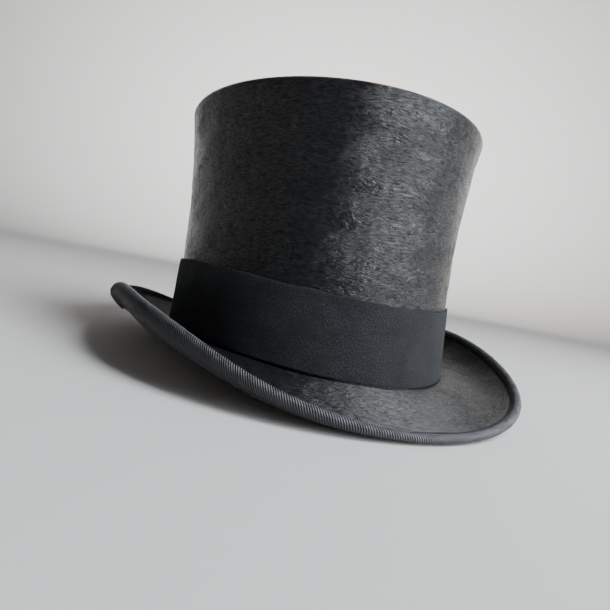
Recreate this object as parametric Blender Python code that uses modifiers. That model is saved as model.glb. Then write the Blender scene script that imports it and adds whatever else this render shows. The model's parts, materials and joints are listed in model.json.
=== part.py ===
"""Silk plush top hat with a wide cloth mourning band, for Blender 4.5. Metres, +Z up.

The hat is worked out in its own frame first: the crown's axis is Z, and z = 0 is the line where the
crown meets the brim at the front. -Y is the front and -X is the wearer's right. The hat_stance empty
then leans everything back a little, so that the brim's front and back dips stand on z = 0.
"""

import math

import bmesh
import bpy
from mathutils import Matrix, Vector

MM = 0.001

# How finely the oval pieces are divided.
AROUND = 40

# Crown: half breadth and half length at the brim line, and how they change up to the top.
CROWN_HALF_WIDTH = 0.0862
CROWN_HALF_LENGTH = 0.1030
CROWN_HEIGHT = 0.1493
WIDTH_FLARE = (-0.0120, 0.0113, 0.0055)
LENGTH_FLARE = (-0.0142, 0.0107, 0.0058)
TOP_EDGE_RADIUS = 3.5 * MM

# Brim: width, height of its edge and roll of its edge, as waves round the hat.
JOIN_SADDLE = 7.5 * MM
JOIN_BACK_RISE = 6.0 * MM
BRIM_WIDTH = 40.5 * MM
BRIM_WIDTH_WAVE_2 = -4.2 * MM
BRIM_WIDTH_WAVE_4 = -3.6 * MM
EDGE_HEIGHT = 15.2 * MM
EDGE_WAVE_2 = 12.5 * MM
EDGE_WAVE_4 = 2.3 * MM
EDGE_BACK_RISE = 11.9 * MM
EDGE_WAVE_3 = -3.8 * MM
BACK_DIP = 16.0 * MM
BACK_DIP_SHARPNESS = 18
ROLL_SHARPNESS = 1.25
START_ANGLE = (math.radians(-3.0), math.radians(16.5))
RISE_ANGLE = (math.radians(4.0), math.radians(44.0))
END_ANGLE = (math.radians(21.0), math.radians(118.0))
ROLL_RADIUS = (5.0 * MM, -1.8 * MM)
CURVE_PULL = 0.38

# Local shaping of the brim: (angles in degrees, how far it spreads in degrees, change).
REAR_LIFT = ((48, 132), 17, 6.2 * MM)
REAR_START = ((30, 150), 20, math.radians(-5))
REAR_RISE = ((35, 145), 20, math.radians(12))
RIGHT_LIFT = ((215,), 17, 3.0 * MM)
RIGHT_WIDTH = ((200,), 20, 3.0 * MM)
RIGHT_RADIUS = ((200,), 20, -1.0 * MM)
RIGHT_RISE = ((204,), 24, math.radians(28))

# Layers of the brim, measured across it from the middle of its shell.
BRIM_SHELL_THICKNESS = 1.0 * MM
BRIM_PLUSH_MIDDLE = 1.0 * MM
BRIM_PLUSH_THICKNESS = 0.4 * MM
COVER_MIDDLE = -0.95 * MM
COVER_INNER_DROP = -0.85 * MM
COVER_THICKNESS = 0.3 * MM
BINDING_MIDDLE = 1.7 * MM
BINDING_THICKNESS = 0.4 * MM
BINDING_TOP_WIDTH = 5.0 * MM
BINDING_UNDER_WIDTH = 15.0 * MM
BINDING_STEPS = tuple(step * MM for step in (1.25, 2.5, 3.75, 5.0, 7.5, 10.0, 12.5))
BINDING_SLIT = 0.004

# Layers of the crown, measured inwards from the outside of its plush.
PLUSH_MIDDLE = 0.25 * MM
PLUSH_THICKNESS = 0.5 * MM
SHELL_MIDDLE = 1.5 * MM
SHELL_THICKNESS = 1.0 * MM
STRIP_MIDDLE = 2.6 * MM
STRIP_THICKNESS = 0.4 * MM
LINING_MIDDLE = 3.25 * MM
LINING_THICKNESS = 0.3 * MM
LEATHER_MIDDLE = 4.1 * MM
LEATHER_THICKNESS = 0.8 * MM
BAND_MIDDLE = -0.9 * MM
BAND_THICKNESS = 1.2 * MM

# Heights above the brim line.
PLUSH_BOTTOM = 1.4 * MM
BAND_BOTTOM = 2.4 * MM
BAND_TOP = 45.6 * MM
BAND_TOP_SADDLE = 6.0 * MM
BAND_TOP_BACK = 2.3 * MM
JOIN_STRIP_TOP = 12.0 * MM
JOIN_STRIP_REACH = 8.0 * MM
LINING_BOTTOM = 14.0 * MM
LEATHER_BOTTOM = 1.6 * MM
LEATHER_TOP = 46.0 * MM

# Sweatband's reed and its welt.
REED_INSET = 4.4 * MM
REED_HEIGHT = -0.1 * MM
REED_RADIUS = 0.7 * MM
WELT_RADIUS = 1.15 * MM
WELT_THICKNESS = 0.3 * MM
WELT_TAIL_TOP = 10.0 * MM

# Stitches: length along the row, width across it, height off the surface.
STITCH = (3.0 * MM, 0.6 * MM, 0.4 * MM)
STITCH_CLEARANCE = 0.15 * MM

# Sweatband's bow.
BOW_LOOP_LENGTH = 15.0 * MM
BOW_LOOP_DEPTH = 4.0 * MM
BOW_RIBBON_WIDTH = 6.0 * MM
BOW_RIBBON_THICKNESS = 0.4 * MM
BOW_KNOT = (5.0 * MM, 3.6 * MM, 7.0 * MM)
BOW_HEIGHT = 24.0 * MM
TAIL_DROP = 14.0 * MM

FRONT = -math.pi / 2
BACK = math.pi / 2
LEFT = 0.0


def wave(theta, level, *waves):
    """level plus each (size, cycles) of waves, as a cosine round the hat."""
    return level + sum(size * math.cos(cycles * theta) for size, cycles in waves)


def local(theta, shaping):
    """How much a local shaping changes the brim at theta."""
    centres, spread, change = shaping
    turns = (math.remainder(theta - math.radians(centre), 2 * math.pi) for centre in centres)
    return change * sum(math.exp(-((turn / math.radians(spread)) ** 2)) for turn in turns)


def crown_half_axes(z):
    """Half breadth and half length of the crown's outside at height z."""
    t = z / CROWN_HEIGHT
    half_width = CROWN_HALF_WIDTH + sum(c * t ** (i + 1) for i, c in enumerate(WIDTH_FLARE))
    half_length = CROWN_HALF_LENGTH + sum(c * t ** (i + 1) for i, c in enumerate(LENGTH_FLARE))
    return half_width, half_length


def join_height(theta):
    """Height of the line where crown and brim meet: higher at the sides and the back."""
    return JOIN_SADDLE * math.cos(theta) ** 2 + JOIN_BACK_RISE * max(0.0, math.sin(theta)) ** 2


def crown_point(theta, inset, z):
    """Point at height z, inset from the crown's outside."""
    half_width, half_length = crown_half_axes(z)
    return Vector(((half_width - inset) * math.cos(theta), (half_length - inset) * math.sin(theta), z))


def outward(theta):
    """Level unit vector square to the crown's oval."""
    return Vector((CROWN_HALF_LENGTH * math.cos(theta), CROWN_HALF_WIDTH * math.sin(theta), 0)).normalized()


def crown_edge_point(theta, inset, angle):
    """Point on the rounded top edge: angle 0 is the side and 90 degrees is the top."""
    start = CROWN_HEIGHT - TOP_EDGE_RADIUS
    radius = TOP_EDGE_RADIUS - inset
    point = crown_point(theta, TOP_EDGE_RADIUS - radius * math.cos(angle), start)
    return point + Vector((0, 0, radius * math.sin(angle)))


def edge_height(theta):
    """Height of the brim's edge: high and rolled at the sides, low at the front, less low at the back."""
    return (
        wave(theta, EDGE_HEIGHT, (EDGE_WAVE_2, 2), (EDGE_WAVE_4, 4))
        + EDGE_BACK_RISE * math.sin(theta)
        + EDGE_WAVE_3 * math.sin(3 * theta)
        - BACK_DIP * max(0.0, math.sin(theta)) ** BACK_DIP_SHARPNESS
        + local(theta, REAR_LIFT)
        + local(theta, RIGHT_LIFT)
    )


def brim_section(theta, rise_steps=5, roll_steps=3):
    """Middle line of the brim's shell at theta: (outward distance, height, slope) from crown to edge."""
    side = abs(math.cos(theta)) ** ROLL_SHARPNESS
    start, rise, end = (a + b * side for a, b in (START_ANGLE, RISE_ANGLE, END_ANGLE))
    start += local(theta, REAR_START)
    rise += local(theta, REAR_RISE) + local(theta, RIGHT_RISE)
    radius = ROLL_RADIUS[0] + ROLL_RADIUS[1] * side + local(theta, RIGHT_RADIUS)
    width = wave(theta, BRIM_WIDTH, (BRIM_WIDTH_WAVE_2, 2), (BRIM_WIDTH_WAVE_4, 4))
    width += local(theta, RIGHT_WIDTH)
    foot = Vector((0, join_height(theta)))
    roll = Vector(
        (
            width - radius * (math.sin(end) - math.sin(rise)),
            edge_height(theta) - radius * (math.cos(rise) - math.cos(end)),
        )
    )
    pull = CURVE_PULL * (roll - foot).length
    handles = (
        foot,
        foot + pull * Vector((math.cos(start), math.sin(start))),
        roll - pull * Vector((math.cos(rise), math.sin(rise))),
        roll,
    )
    section = []
    for i in range(rise_steps + 1):
        t = i / rise_steps
        s = 1 - t
        weights = (s**3, 3 * s * s * t, 3 * s * t * t, t**3)
        spot = sum((w * h for w, h in zip(weights, handles)), Vector((0, 0)))
        slopes = (3 * s * s, 6 * s * t, 3 * t * t)
        way = sum((w * (b - a) for w, a, b in zip(slopes, handles, handles[1:])), Vector((0, 0)))
        section.append((spot.x, spot.y, math.atan2(way.y, way.x)))
    for i in range(1, roll_steps + 1):
        angle = rise + (end - rise) * i / roll_steps
        u = roll.x + radius * (math.sin(angle) - math.sin(rise))
        v = roll.y + radius * (math.cos(rise) - math.cos(angle))
        section.append((u, v, angle))
    return section


def off_section(station, height):
    """(outward distance, height) of a point that lies height above the section at a station."""
    u, v, angle = station
    return u - height * math.sin(angle), v + height * math.cos(angle)


def stretched(station, distance):
    """The station moved straight on along its own slope."""
    u, v, angle = station
    return u + distance * math.cos(angle), v + distance * math.sin(angle), angle


def brim_point(theta, u, v):
    """Point at outward distance u from the crown's base oval, at height v."""
    base = Vector((CROWN_HALF_WIDTH * math.cos(theta), CROWN_HALF_LENGTH * math.sin(theta), 0))
    return base + outward(theta) * u + Vector((0, 0, v))


def along(section, back):
    """The station that lies a distance back from the section's outer end."""
    for inner, outer in zip(section[-2::-1], section[:0:-1]):
        step = math.dist(inner[:2], outer[:2])
        if back <= step:
            share = back / step
            return tuple(o + (i - o) * share for i, o in zip(inner, outer))
        back -= step
    return section[0]


def thetas(start=LEFT, turn=2 * math.pi, count=AROUND, closed=True):
    """Angles round the hat. A turn that isn't closed ends on its last angle."""
    return [start + turn * i / (count if closed else count - 1) for i in range(count)]


def material(name, colour, roughness, sheen=0.0):
    made = bpy.data.materials.new(name)
    made.use_nodes = True
    shader = made.node_tree.nodes["Principled BSDF"]
    shader.inputs["Base Color"].default_value = (*colour, 1)
    shader.inputs["Roughness"].default_value = roughness
    shader.inputs["Sheen Weight"].default_value = sheen
    made.diffuse_color = (*colour, 1)
    return made


def add_object(name, mesh, finish):
    """A new object for the mesh, in the hat's collection and on its stance."""
    made = bpy.data.objects.new(name, mesh)
    made.data.materials.append(finish)
    bpy.data.collections["top_hat"].objects.link(made)
    made.parent = bpy.data.objects["hat_stance"]
    return made


def mesh_of(name, work):
    mesh = bpy.data.meshes.new(name)
    bmesh.ops.recalc_face_normals(work, faces=work.faces)
    work.to_mesh(mesh)
    work.free()
    mesh.shade_smooth()
    mesh.set_sharp_from_angle(angle=math.radians(40))
    return mesh


def thicken(piece, thickness):
    solidify = piece.modifiers.new("Thickness", "SOLIDIFY")
    solidify.thickness = thickness
    solidify.offset = 0
    solidify.use_even_offset = True


def layer(name, rows, thickness, finish, closed=True, middle=None):
    """A skin through rows of points that go round the hat, with its thickness from Solidify.

    middle closes the last row with one flat face.
    """
    work = bmesh.new()
    loops = [[work.verts.new(point) for point in row] for row in rows]
    for low, high in zip(loops, loops[1:]):
        last = len(low) if closed else len(low) - 1
        for i in range(last):
            j = (i + 1) % len(low)
            work.faces.new((low[i], low[j], high[j], high[i]))
    if middle:
        work.faces.new(loops[-1])
    piece = add_object(name, mesh_of(name, work), finish)
    thicken(piece, thickness)
    return piece


def brim_layer(name, middle_of, thickness, finish, inner):
    """A layer of the brim, from the outward distance inner to the edge.

    middle_of gives its height off the middle of the shell at each station of the section.
    """
    lines = []
    for theta in thetas():
        section = brim_section(theta)
        spots = [off_section(station, middle_of(i)) for i, station in enumerate(section)]
        start = off_section(stretched(section[0], inner), middle_of(0))
        spots = [start] + (spots if inner < 0 else spots[1:])
        lines.append([brim_point(theta, *spot) for spot in spots])
    return layer(name, list(zip(*lines)), thickness, finish)


def thread_row(name, places, finish, size=STITCH, cyclic=False):
    """One running thread, with a slanting stitch at each (point, direction along, direction outwards)."""
    length, width, thickness = size
    centres = []
    for point, run, out in places:
        run = run.normalized()
        out = (out - run * out.dot(run)).normalized()
        across = out.cross(run)
        lifted = point + out * (thickness / 2 + STITCH_CLEARANCE)
        centres.append(lifted - run * length / 2 - across * width / 2)
        centres.append(lifted + run * length / 2 + across * width / 2)
    return tube(name, centres, thickness / 2, finish, cyclic, sides=4)


def tube(name, centres, radius, finish, cyclic=True, sides=6):
    """A tube of the given radius along the centres, closed into a ring if cyclic."""
    curve = bpy.data.curves.new(name, "CURVE")
    curve.dimensions = "3D"
    curve.bevel_depth = radius
    curve.bevel_resolution = sides // 2 - 2
    curve.use_fill_caps = True
    spline = curve.splines.new("POLY")
    spline.points.add(len(centres) - 1)
    for point, centre in zip(spline.points, centres):
        point.co = (*centre, 1)
    spline.use_cyclic_u = cyclic
    return add_object(name, curve, finish)


# --- Crown -----------------------------------------------------------------


def crown_rows(inset, bottom, top, steps, angles):
    """Rows from the bottom height up to the top height, both functions of theta."""
    rows = []
    for i in range(steps + 1):
        heights = [bottom(a) + (top(a) - bottom(a)) * i / steps for a in angles]
        rows.append([crown_point(a, inset, z) for a, z in zip(angles, heights)])
    return rows


def edge_rows(inset, first, last, steps, angles):
    """Rows over the rounded top edge, from one angle to another in degrees."""
    turns = [math.radians(first + (last - first) * i / steps) for i in range(steps + 1)]
    return [[crown_edge_point(theta, inset, turn) for theta in angles] for turn in turns]


SIDE_SEAM_ANGLE = math.radians(54)
SIDE_SEAM_GAP = math.radians(0.5)
EDGE_START = CROWN_HEIGHT - TOP_EDGE_RADIUS


def plush_bottom(theta):
    return join_height(theta) + PLUSH_BOTTOM


def make_crown_side_shell(finish):
    rows = crown_rows(SHELL_MIDDLE, plush_bottom, lambda a: EDGE_START - 0.3 * MM, 4, thetas())
    layer("crown_side_shell", rows, SHELL_THICKNESS, finish)


def make_crown_tip_shell(finish):
    rows = edge_rows(SHELL_MIDDLE, 20, 90, 2, thetas())
    layer("crown_tip_shell", rows, SHELL_THICKNESS, finish, middle=True)


def make_tip_joint_strip(finish):
    """Calico strip that holds side and tip together inside: an upright leg and a leg under the tip."""
    drop = 9 * MM
    top = CROWN_HEIGHT - STRIP_MIDDLE
    angles = thetas()
    rows = [
        [crown_point(theta, STRIP_MIDDLE, EDGE_START - drop) for theta in angles],
        [crown_point(theta, STRIP_MIDDLE, EDGE_START - drop / 2) for theta in angles],
        [crown_point(theta, STRIP_MIDDLE, EDGE_START) for theta in angles],
        [crown_edge_point(theta, STRIP_MIDDLE, math.radians(45)) for theta in angles],
        [crown_point(theta, TOP_EDGE_RADIUS, EDGE_START) for theta in angles],
        [crown_point(theta, TOP_EDGE_RADIUS + drop, EDGE_START) for theta in angles],
    ]
    for row in rows[4:]:
        for point in row:
            point.z = top
    layer("tip_joint_strip", rows, STRIP_THICKNESS, finish)


def make_side_plush(finish):
    start = SIDE_SEAM_ANGLE + SIDE_SEAM_GAP
    angles = thetas(start, 2 * math.pi - 2 * SIDE_SEAM_GAP, AROUND + 1, closed=False)
    rows = crown_rows(PLUSH_MIDDLE, plush_bottom, lambda a: EDGE_START, 4, angles)
    rows += edge_rows(PLUSH_MIDDLE, 22, 42, 1, angles)
    layer("side_plush", rows, PLUSH_THICKNESS, finish, closed=False)


def make_side_seam_thread(finish):
    places = []
    for i in range(16):
        z = BAND_TOP + 12 * MM + i * 5.5 * MM
        here = crown_point(SIDE_SEAM_ANGLE, -0.5 * MM, z)
        run = crown_point(SIDE_SEAM_ANGLE + 0.05, 0, z) - crown_point(SIDE_SEAM_ANGLE - 0.05, 0, z)
        places.append((here, run, outward(SIDE_SEAM_ANGLE)))
    thread_row("side_seam_thread", places, finish, (2.0 * MM, 0.4 * MM, 0.3 * MM))


def make_tip_plush(finish):
    rows = edge_rows(PLUSH_MIDDLE, 50, 90, 2, thetas())
    layer("tip_plush", rows, PLUSH_THICKNESS, finish, middle=True)


# --- Brim ------------------------------------------------------------------


def make_brim_shell(finish):
    brim_layer("brim_shell", lambda i: 0.0, BRIM_SHELL_THICKNESS, finish, -2.1 * MM)


def make_upper_brim_plush(finish):
    brim_layer("upper_brim_plush", lambda i: BRIM_PLUSH_MIDDLE, BRIM_PLUSH_THICKNESS, finish, 0.3 * MM)


def cover_middle(i):
    """The under-brim cover passes below the joint strip near the crown, then lies on the shell."""
    return COVER_MIDDLE + (COVER_INNER_DROP if i < 2 else 0)


def make_under_brim_cover(finish):
    brim_layer("under_brim_cover", cover_middle, COVER_THICKNESS, finish, -2.8 * MM)


def make_brim_joint_strip(finish):
    """The robin: one leg up inside the crown, one leg out under the brim's shell."""
    angles = thetas()
    rows = [
        [crown_point(theta, STRIP_MIDDLE, join_height(theta) + JOIN_STRIP_TOP) for theta in angles],
        [crown_point(theta, STRIP_MIDDLE, join_height(theta) + JOIN_STRIP_TOP / 2) for theta in angles],
        [crown_point(theta, STRIP_MIDDLE, join_height(theta)) for theta in angles],
    ]
    under = -(BRIM_SHELL_THICKNESS + STRIP_THICKNESS) / 2 - 0.3 * MM
    legs = []
    for theta in angles:
        section = brim_section(theta)
        inner = off_section(stretched(section[0], -STRIP_MIDDLE), under)
        foot, out = (Vector(off_section(station, under)) for station in section[:2])
        tip = foot.lerp(out, JOIN_STRIP_REACH / (out.x - foot.x))
        legs.append([brim_point(theta, *spot) for spot in (inner, foot, tip)])
    rows += list(zip(*legs))
    layer("brim_joint_strip", rows, STRIP_THICKNESS, finish)


def binding_path(section):
    """The ribbon's middle line, from its top edge round the brim's edge to its edge underneath."""
    end = stretched(section[-1], 0.5 * MM)
    path = [off_section(along(section, BINDING_TOP_WIDTH * share), BINDING_MIDDLE) for share in (1, 0.5)]
    for degrees in (90, 45, 0, -45, -90):
        reach = stretched(end, BINDING_MIDDLE * math.cos(math.radians(degrees)))
        path.append(off_section(reach, BINDING_MIDDLE * math.sin(math.radians(degrees))))
    for back in (*BINDING_STEPS, BINDING_UNDER_WIDTH):
        path.append(off_section(along(section, back), -BINDING_MIDDLE - 0.15 * MM))
    return path


def make_brim_binding(finish):
    angles = thetas(BACK + BINDING_SLIT, 2 * math.pi - 2 * BINDING_SLIT, AROUND + 1, closed=False)
    paths = [binding_path(brim_section(theta)) for theta in angles]
    lines = [[brim_point(theta, *spot) for spot in path] for theta, path in zip(angles, paths)]
    rows = list(zip(*lines))
    layer("brim_binding", rows, BINDING_THICKNESS, finish, closed=False)


def make_binding_thread(finish):
    """Stitches underneath, just inside the ribbon's edge."""
    places = []
    count = 60
    height = -(BINDING_MIDDLE + BINDING_THICKNESS / 2 + 0.12 * MM)
    for theta in thetas(BACK + 0.04, 2 * math.pi - 0.08, count, closed=False):
        station = along(brim_section(theta), BINDING_UNDER_WIDTH - 1.5 * MM)
        here = brim_point(theta, *off_section(station, height))
        near = along(brim_section(theta + 0.01), BINDING_UNDER_WIDTH - 1.5 * MM)
        run = brim_point(theta + 0.01, *off_section(near, height)) - here
        below = brim_point(theta, *off_section(station, height - 1 * MM))
        places.append((here, run, below - here))
    thread_row("binding_thread", places, finish, (2.2 * MM, 0.4 * MM, 0.22 * MM))


# --- Band ------------------------------------------------------------------


def band_top(theta):
    """The band's top edge rises a little at the sides and towards the back."""
    return BAND_TOP + BAND_TOP_SADDLE * math.cos(theta) ** 2 + BAND_TOP_BACK * math.sin(theta)


def make_hat_band(finish):
    slit = 0.004
    angles = thetas(LEFT + slit, 2 * math.pi - 2 * slit, AROUND + 1, closed=False)
    rows = crown_rows(BAND_MIDDLE, lambda a: join_height(a) + BAND_BOTTOM, band_top, 3, angles)
    layer("hat_band", rows, BAND_THICKNESS, finish, closed=False)


def make_band_join_thread(finish):
    outside = BAND_MIDDLE - BAND_THICKNESS / 2
    places = []
    for i in range(9):
        z = join_height(LEFT) + BAND_BOTTOM + 3 * MM + i * 4.6 * MM
        places.append((crown_point(LEFT, outside, z), Vector((0, 1, 0.25)), outward(LEFT)))
    thread_row("band_join_thread", places, finish)


# --- Sweatband -------------------------------------------------------------


def leather_top(theta):
    return LEATHER_TOP + JOIN_SADDLE * 0.5 * math.cos(theta) ** 2


def make_sweatband(finish):
    slit = 0.003
    angles = thetas(BACK + slit, 2 * math.pi - 2 * slit, AROUND + 1, closed=False)
    rows = crown_rows(LEATHER_MIDDLE, lambda a: join_height(a) + LEATHER_BOTTOM, leather_top, 3, angles)
    layer("sweatband", rows, LEATHER_THICKNESS, finish, closed=False)


def make_reed(finish):
    centres = [crown_point(theta, REED_INSET, join_height(theta) + REED_HEIGHT) for theta in thetas()]
    tube("sweatband_reed", centres, REED_RADIUS, finish)


def make_reed_welt(finish):
    """A strip folded round the reed, with its tail up behind the leather."""
    angles = thetas()
    rows = []
    for theta_rows in (WELT_TAIL_TOP, WELT_TAIL_TOP / 2, 1.0 * MM):
        rows.append([crown_point(t, REED_INSET - WELT_RADIUS, join_height(t) + theta_rows) for t in angles])
    for degrees in (0, -45, -90, -135, -180):
        turn = math.radians(degrees)
        row = []
        for theta in angles:
            centre = join_height(theta) + REED_HEIGHT
            inset = REED_INSET - WELT_RADIUS * math.cos(turn)
            point = crown_point(theta, inset, centre)
            row.append(point + Vector((0, 0, WELT_RADIUS * math.sin(turn))))
        rows.append(row)
    layer("reed_welt", rows, WELT_THICKNESS, finish)


def make_sweatband_thread(finish):
    inside = LEATHER_MIDDLE + LEATHER_THICKNESS / 2 + 0.3 * MM
    places = []
    for theta in thetas(BACK + 0.05, 2 * math.pi - 0.1, 60, closed=False):
        z = join_height(theta) + LEATHER_BOTTOM + 3 * MM
        here = crown_point(theta, inside, z)
        run = crown_point(theta + 0.01, inside, join_height(theta + 0.01) + LEATHER_BOTTOM + 3 * MM) - here
        places.append((here, run, -outward(theta)))
    thread_row("sweatband_thread", places, finish, (2.6 * MM, 0.5 * MM, 0.3 * MM))


def make_sweatband_back_thread(finish):
    """A slanting stitch every few millimetres up the sweatband's join."""
    inside = LEATHER_MIDDLE + LEATHER_THICKNESS / 2
    places = []
    for i in range(8):
        z = BOW_HEIGHT + BOW_KNOT[2] / 2 + 2.0 * MM + i * 2.1 * MM
        places.append((crown_point(BACK, inside, z), Vector((1, 0, 0.4)), Vector((0, -1, 0))))
    thread_row("sweatband_back_thread", places, finish, (2.4 * MM, 0.4 * MM, 0.3 * MM))


def inside_back(along_back, depth, z):
    """Point near the back of the sweatband: sideways distance, depth off the leather, height."""
    inset = LEATHER_MIDDLE + LEATHER_THICKNESS / 2 + depth
    half_width, _ = crown_half_axes(z)
    return crown_point(BACK - along_back / (half_width - inset), inset, z)


def make_bow_loop(name, side, finish):
    """One flat loop of ribbon beside the knot."""
    near = BOW_KNOT[0] / 2 + 0.3 * MM + BOW_RIBBON_THICKNESS
    outline = []
    for turn in thetas(count=12):
        length = near + BOW_LOOP_LENGTH / 2 * (1 - math.cos(turn))
        swell = 1 + math.sin(turn) * math.sqrt(math.sin(turn / 2))
        outline.append((side * length, 0.6 * MM + BOW_LOOP_DEPTH / 2 * swell))
    rows = []
    for height in (-BOW_RIBBON_WIDTH / 2, BOW_RIBBON_WIDTH / 2):
        rows.append([inside_back(s, d, BOW_HEIGHT + height) for s, d in outline])
    layer(name, rows, BOW_RIBBON_THICKNESS, finish)


def make_bow_knot(finish):
    centre = inside_back(0, 0.4 * MM + BOW_KNOT[1] / 2, BOW_HEIGHT)
    work = bmesh.new()
    matrix = Matrix.Translation(centre) @ Matrix.Diagonal((*BOW_KNOT, 1))
    bmesh.ops.create_cube(work, size=1, matrix=matrix)
    piece = add_object("bow_knot", mesh_of("bow_knot", work), finish)
    bevel = piece.modifiers.new("Rounding", "BEVEL")
    bevel.width = 1.1 * MM
    bevel.segments = 2


def make_bow_tail(name, side, finish):
    """A short ribbon end that hangs from the knot and swings outwards."""
    top = BOW_HEIGHT - BOW_KNOT[2] / 2 - 0.4 * MM
    rows = []
    for share in (0, 1 / 3, 2 / 3, 1):
        middle = side * (2.4 * MM + 5.5 * MM * share)
        half = 1.5 * MM + 0.8 * MM * share
        depth = 1.2 * MM + 0.6 * MM * math.sin(share * math.pi)
        rows.append([inside_back(middle + e * half, depth, top - TAIL_DROP * share) for e in (-1, 1)])
    layer(name, rows, BOW_RIBBON_THICKNESS, finish, closed=False)


# --- Lining ----------------------------------------------------------------

LINING_TOP = CROWN_HEIGHT - 7.0 * MM
TIP_LINING_HEIGHT = CROWN_HEIGHT - 3.6 * MM
PIPING_RADIUS = 0.8 * MM
PIPING_INSET = 4.3 * MM


def make_side_lining(finish):
    bottom = lambda a: join_height(a) + LINING_BOTTOM
    rows = crown_rows(LINING_MIDDLE, bottom, lambda a: LINING_TOP, 4, thetas())
    layer("side_lining", rows, LINING_THICKNESS, finish)


def make_tip_lining(finish):
    rows = []
    for inset in (PIPING_INSET + PIPING_RADIUS + 0.5 * MM, PIPING_INSET + 12 * MM):
        row = [crown_point(theta, inset, LINING_TOP) for theta in thetas()]
        for point in row:
            point.z = TIP_LINING_HEIGHT
        rows.append(row)
    layer("tip_lining", rows, LINING_THICKNESS, finish, middle=True)


def make_lining_piping(finish):
    height = LINING_TOP + PIPING_RADIUS + 0.4 * MM
    centres = [crown_point(theta, PIPING_INSET, height) for theta in thetas()]
    tube("lining_piping", centres, PIPING_RADIUS, finish)


# --- Assembly --------------------------------------------------------------


def stand_on_dips(holder, resting):
    """Leans and lifts the holder so that the resting piece's front and back low points are at z = 0.

    It also moves the holder so that the resting piece is centred over the origin.
    """
    solid = resting.evaluated_get(bpy.context.evaluated_depsgraph_get())
    points = [vertex.co.copy() for vertex in solid.data.vertices]
    lean = 0.0
    for _ in range(8):
        turned = [Matrix.Rotation(lean, 3, "X") @ point for point in points]
        front = min((point for point in turned if point.y < 0), key=lambda point: point.z)
        back = min((point for point in turned if point.y > 0), key=lambda point: point.z)
        lean -= math.atan2(back.z - front.z, back.y - front.y)
    middle = [(min(ends) + max(ends)) / 2 for ends in list(zip(*turned))[:2]]
    holder.rotation_euler = (lean, 0, 0)
    holder.location = (-middle[0], -middle[1], -min(point.z for point in turned))


def main():
    for old in list(bpy.data.objects):
        bpy.data.objects.remove(old, do_unlink=True)
    hat = bpy.data.collections.new("top_hat")
    bpy.context.scene.collection.children.link(hat)
    holder = bpy.data.objects.new("hat_stance", None)
    hat.objects.link(holder)

    plush = material("silk_plush", (0.012, 0.013, 0.016), 0.38, sheen=0.5)
    wool = material("band_wool", (0.022, 0.023, 0.026), 0.92, sheen=0.3)
    cover = material("merino_cover", (0.018, 0.018, 0.019), 0.85, sheen=0.2)
    ribbon = material("grosgrain_ribbon", (0.030, 0.032, 0.040), 0.55, sheen=0.2)
    gossamer = material("shellac_gossamer", (0.30, 0.17, 0.07), 0.45)
    calico = material("calico", (0.62, 0.55, 0.42), 0.9)
    leather = material("sweatband_leather", (0.34, 0.17, 0.08), 0.5)
    cane = material("reed_cane", (0.55, 0.40, 0.22), 0.6)
    oilcloth = material("welt_oilcloth", (0.05, 0.04, 0.035), 0.4)
    satin = material("lining_satin", (0.70, 0.66, 0.58), 0.35, sheen=0.2)
    bow_ribbon = material("bow_ribbon", (0.02, 0.02, 0.025), 0.5)
    thread = material("sewing_thread", (0.02, 0.02, 0.02), 0.7)
    light_thread = material("light_thread", (0.60, 0.50, 0.36), 0.7)

    make_crown_side_shell(gossamer)
    make_crown_tip_shell(gossamer)
    make_tip_joint_strip(calico)
    make_brim_shell(gossamer)
    make_brim_joint_strip(calico)
    make_side_plush(plush)
    make_side_seam_thread(thread)
    make_tip_plush(plush)
    make_upper_brim_plush(plush)
    make_under_brim_cover(cover)
    make_brim_binding(ribbon)
    make_binding_thread(thread)
    make_hat_band(wool)
    make_band_join_thread(thread)
    make_sweatband(leather)
    make_reed(cane)
    make_reed_welt(oilcloth)
    make_sweatband_thread(light_thread)
    make_sweatband_back_thread(light_thread)
    make_bow_knot(bow_ribbon)
    for name, side in (("left", 1), ("right", -1)):
        make_bow_loop(f"bow_loop_{name}", side, bow_ribbon)
        make_bow_tail(f"bow_tail_{name}", side, bow_ribbon)
    make_side_lining(satin)
    make_tip_lining(satin)
    make_lining_piping(satin)

    bpy.context.view_layer.update()
    stand_on_dips(holder, bpy.data.objects["brim_binding"])


main()
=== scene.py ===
"""A silk plush top hat with a wide cloth mourning band: its looks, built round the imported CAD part."""

import json
import math

import bpy
import numpy as np
from mathutils import Matrix, Vector


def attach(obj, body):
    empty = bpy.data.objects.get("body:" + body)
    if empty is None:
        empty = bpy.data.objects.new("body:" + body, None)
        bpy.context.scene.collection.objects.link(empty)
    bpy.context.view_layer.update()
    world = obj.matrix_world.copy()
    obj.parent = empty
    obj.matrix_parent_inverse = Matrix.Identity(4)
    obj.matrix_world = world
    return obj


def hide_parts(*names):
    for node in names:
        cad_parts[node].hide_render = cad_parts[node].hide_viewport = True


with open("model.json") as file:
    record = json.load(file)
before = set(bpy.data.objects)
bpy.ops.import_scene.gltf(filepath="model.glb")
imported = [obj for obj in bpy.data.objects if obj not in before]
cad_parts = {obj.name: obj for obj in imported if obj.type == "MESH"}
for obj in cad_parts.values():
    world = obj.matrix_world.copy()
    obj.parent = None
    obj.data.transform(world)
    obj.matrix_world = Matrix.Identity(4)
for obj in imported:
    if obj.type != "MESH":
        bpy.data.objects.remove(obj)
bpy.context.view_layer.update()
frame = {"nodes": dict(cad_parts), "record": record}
nodes = frame["nodes"]

MM = 0.001
TAU = 2 * math.pi
BACK, LEFT = math.pi / 2, 0.0  # angles round the crown axis
rng = np.random.default_rng(11)

# --- The hat's own dimensions, in metres, in the hat's own frame ---
# Crown axis along Z, z = 0 at the front of the line where crown meets brim, -Y the front.

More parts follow.
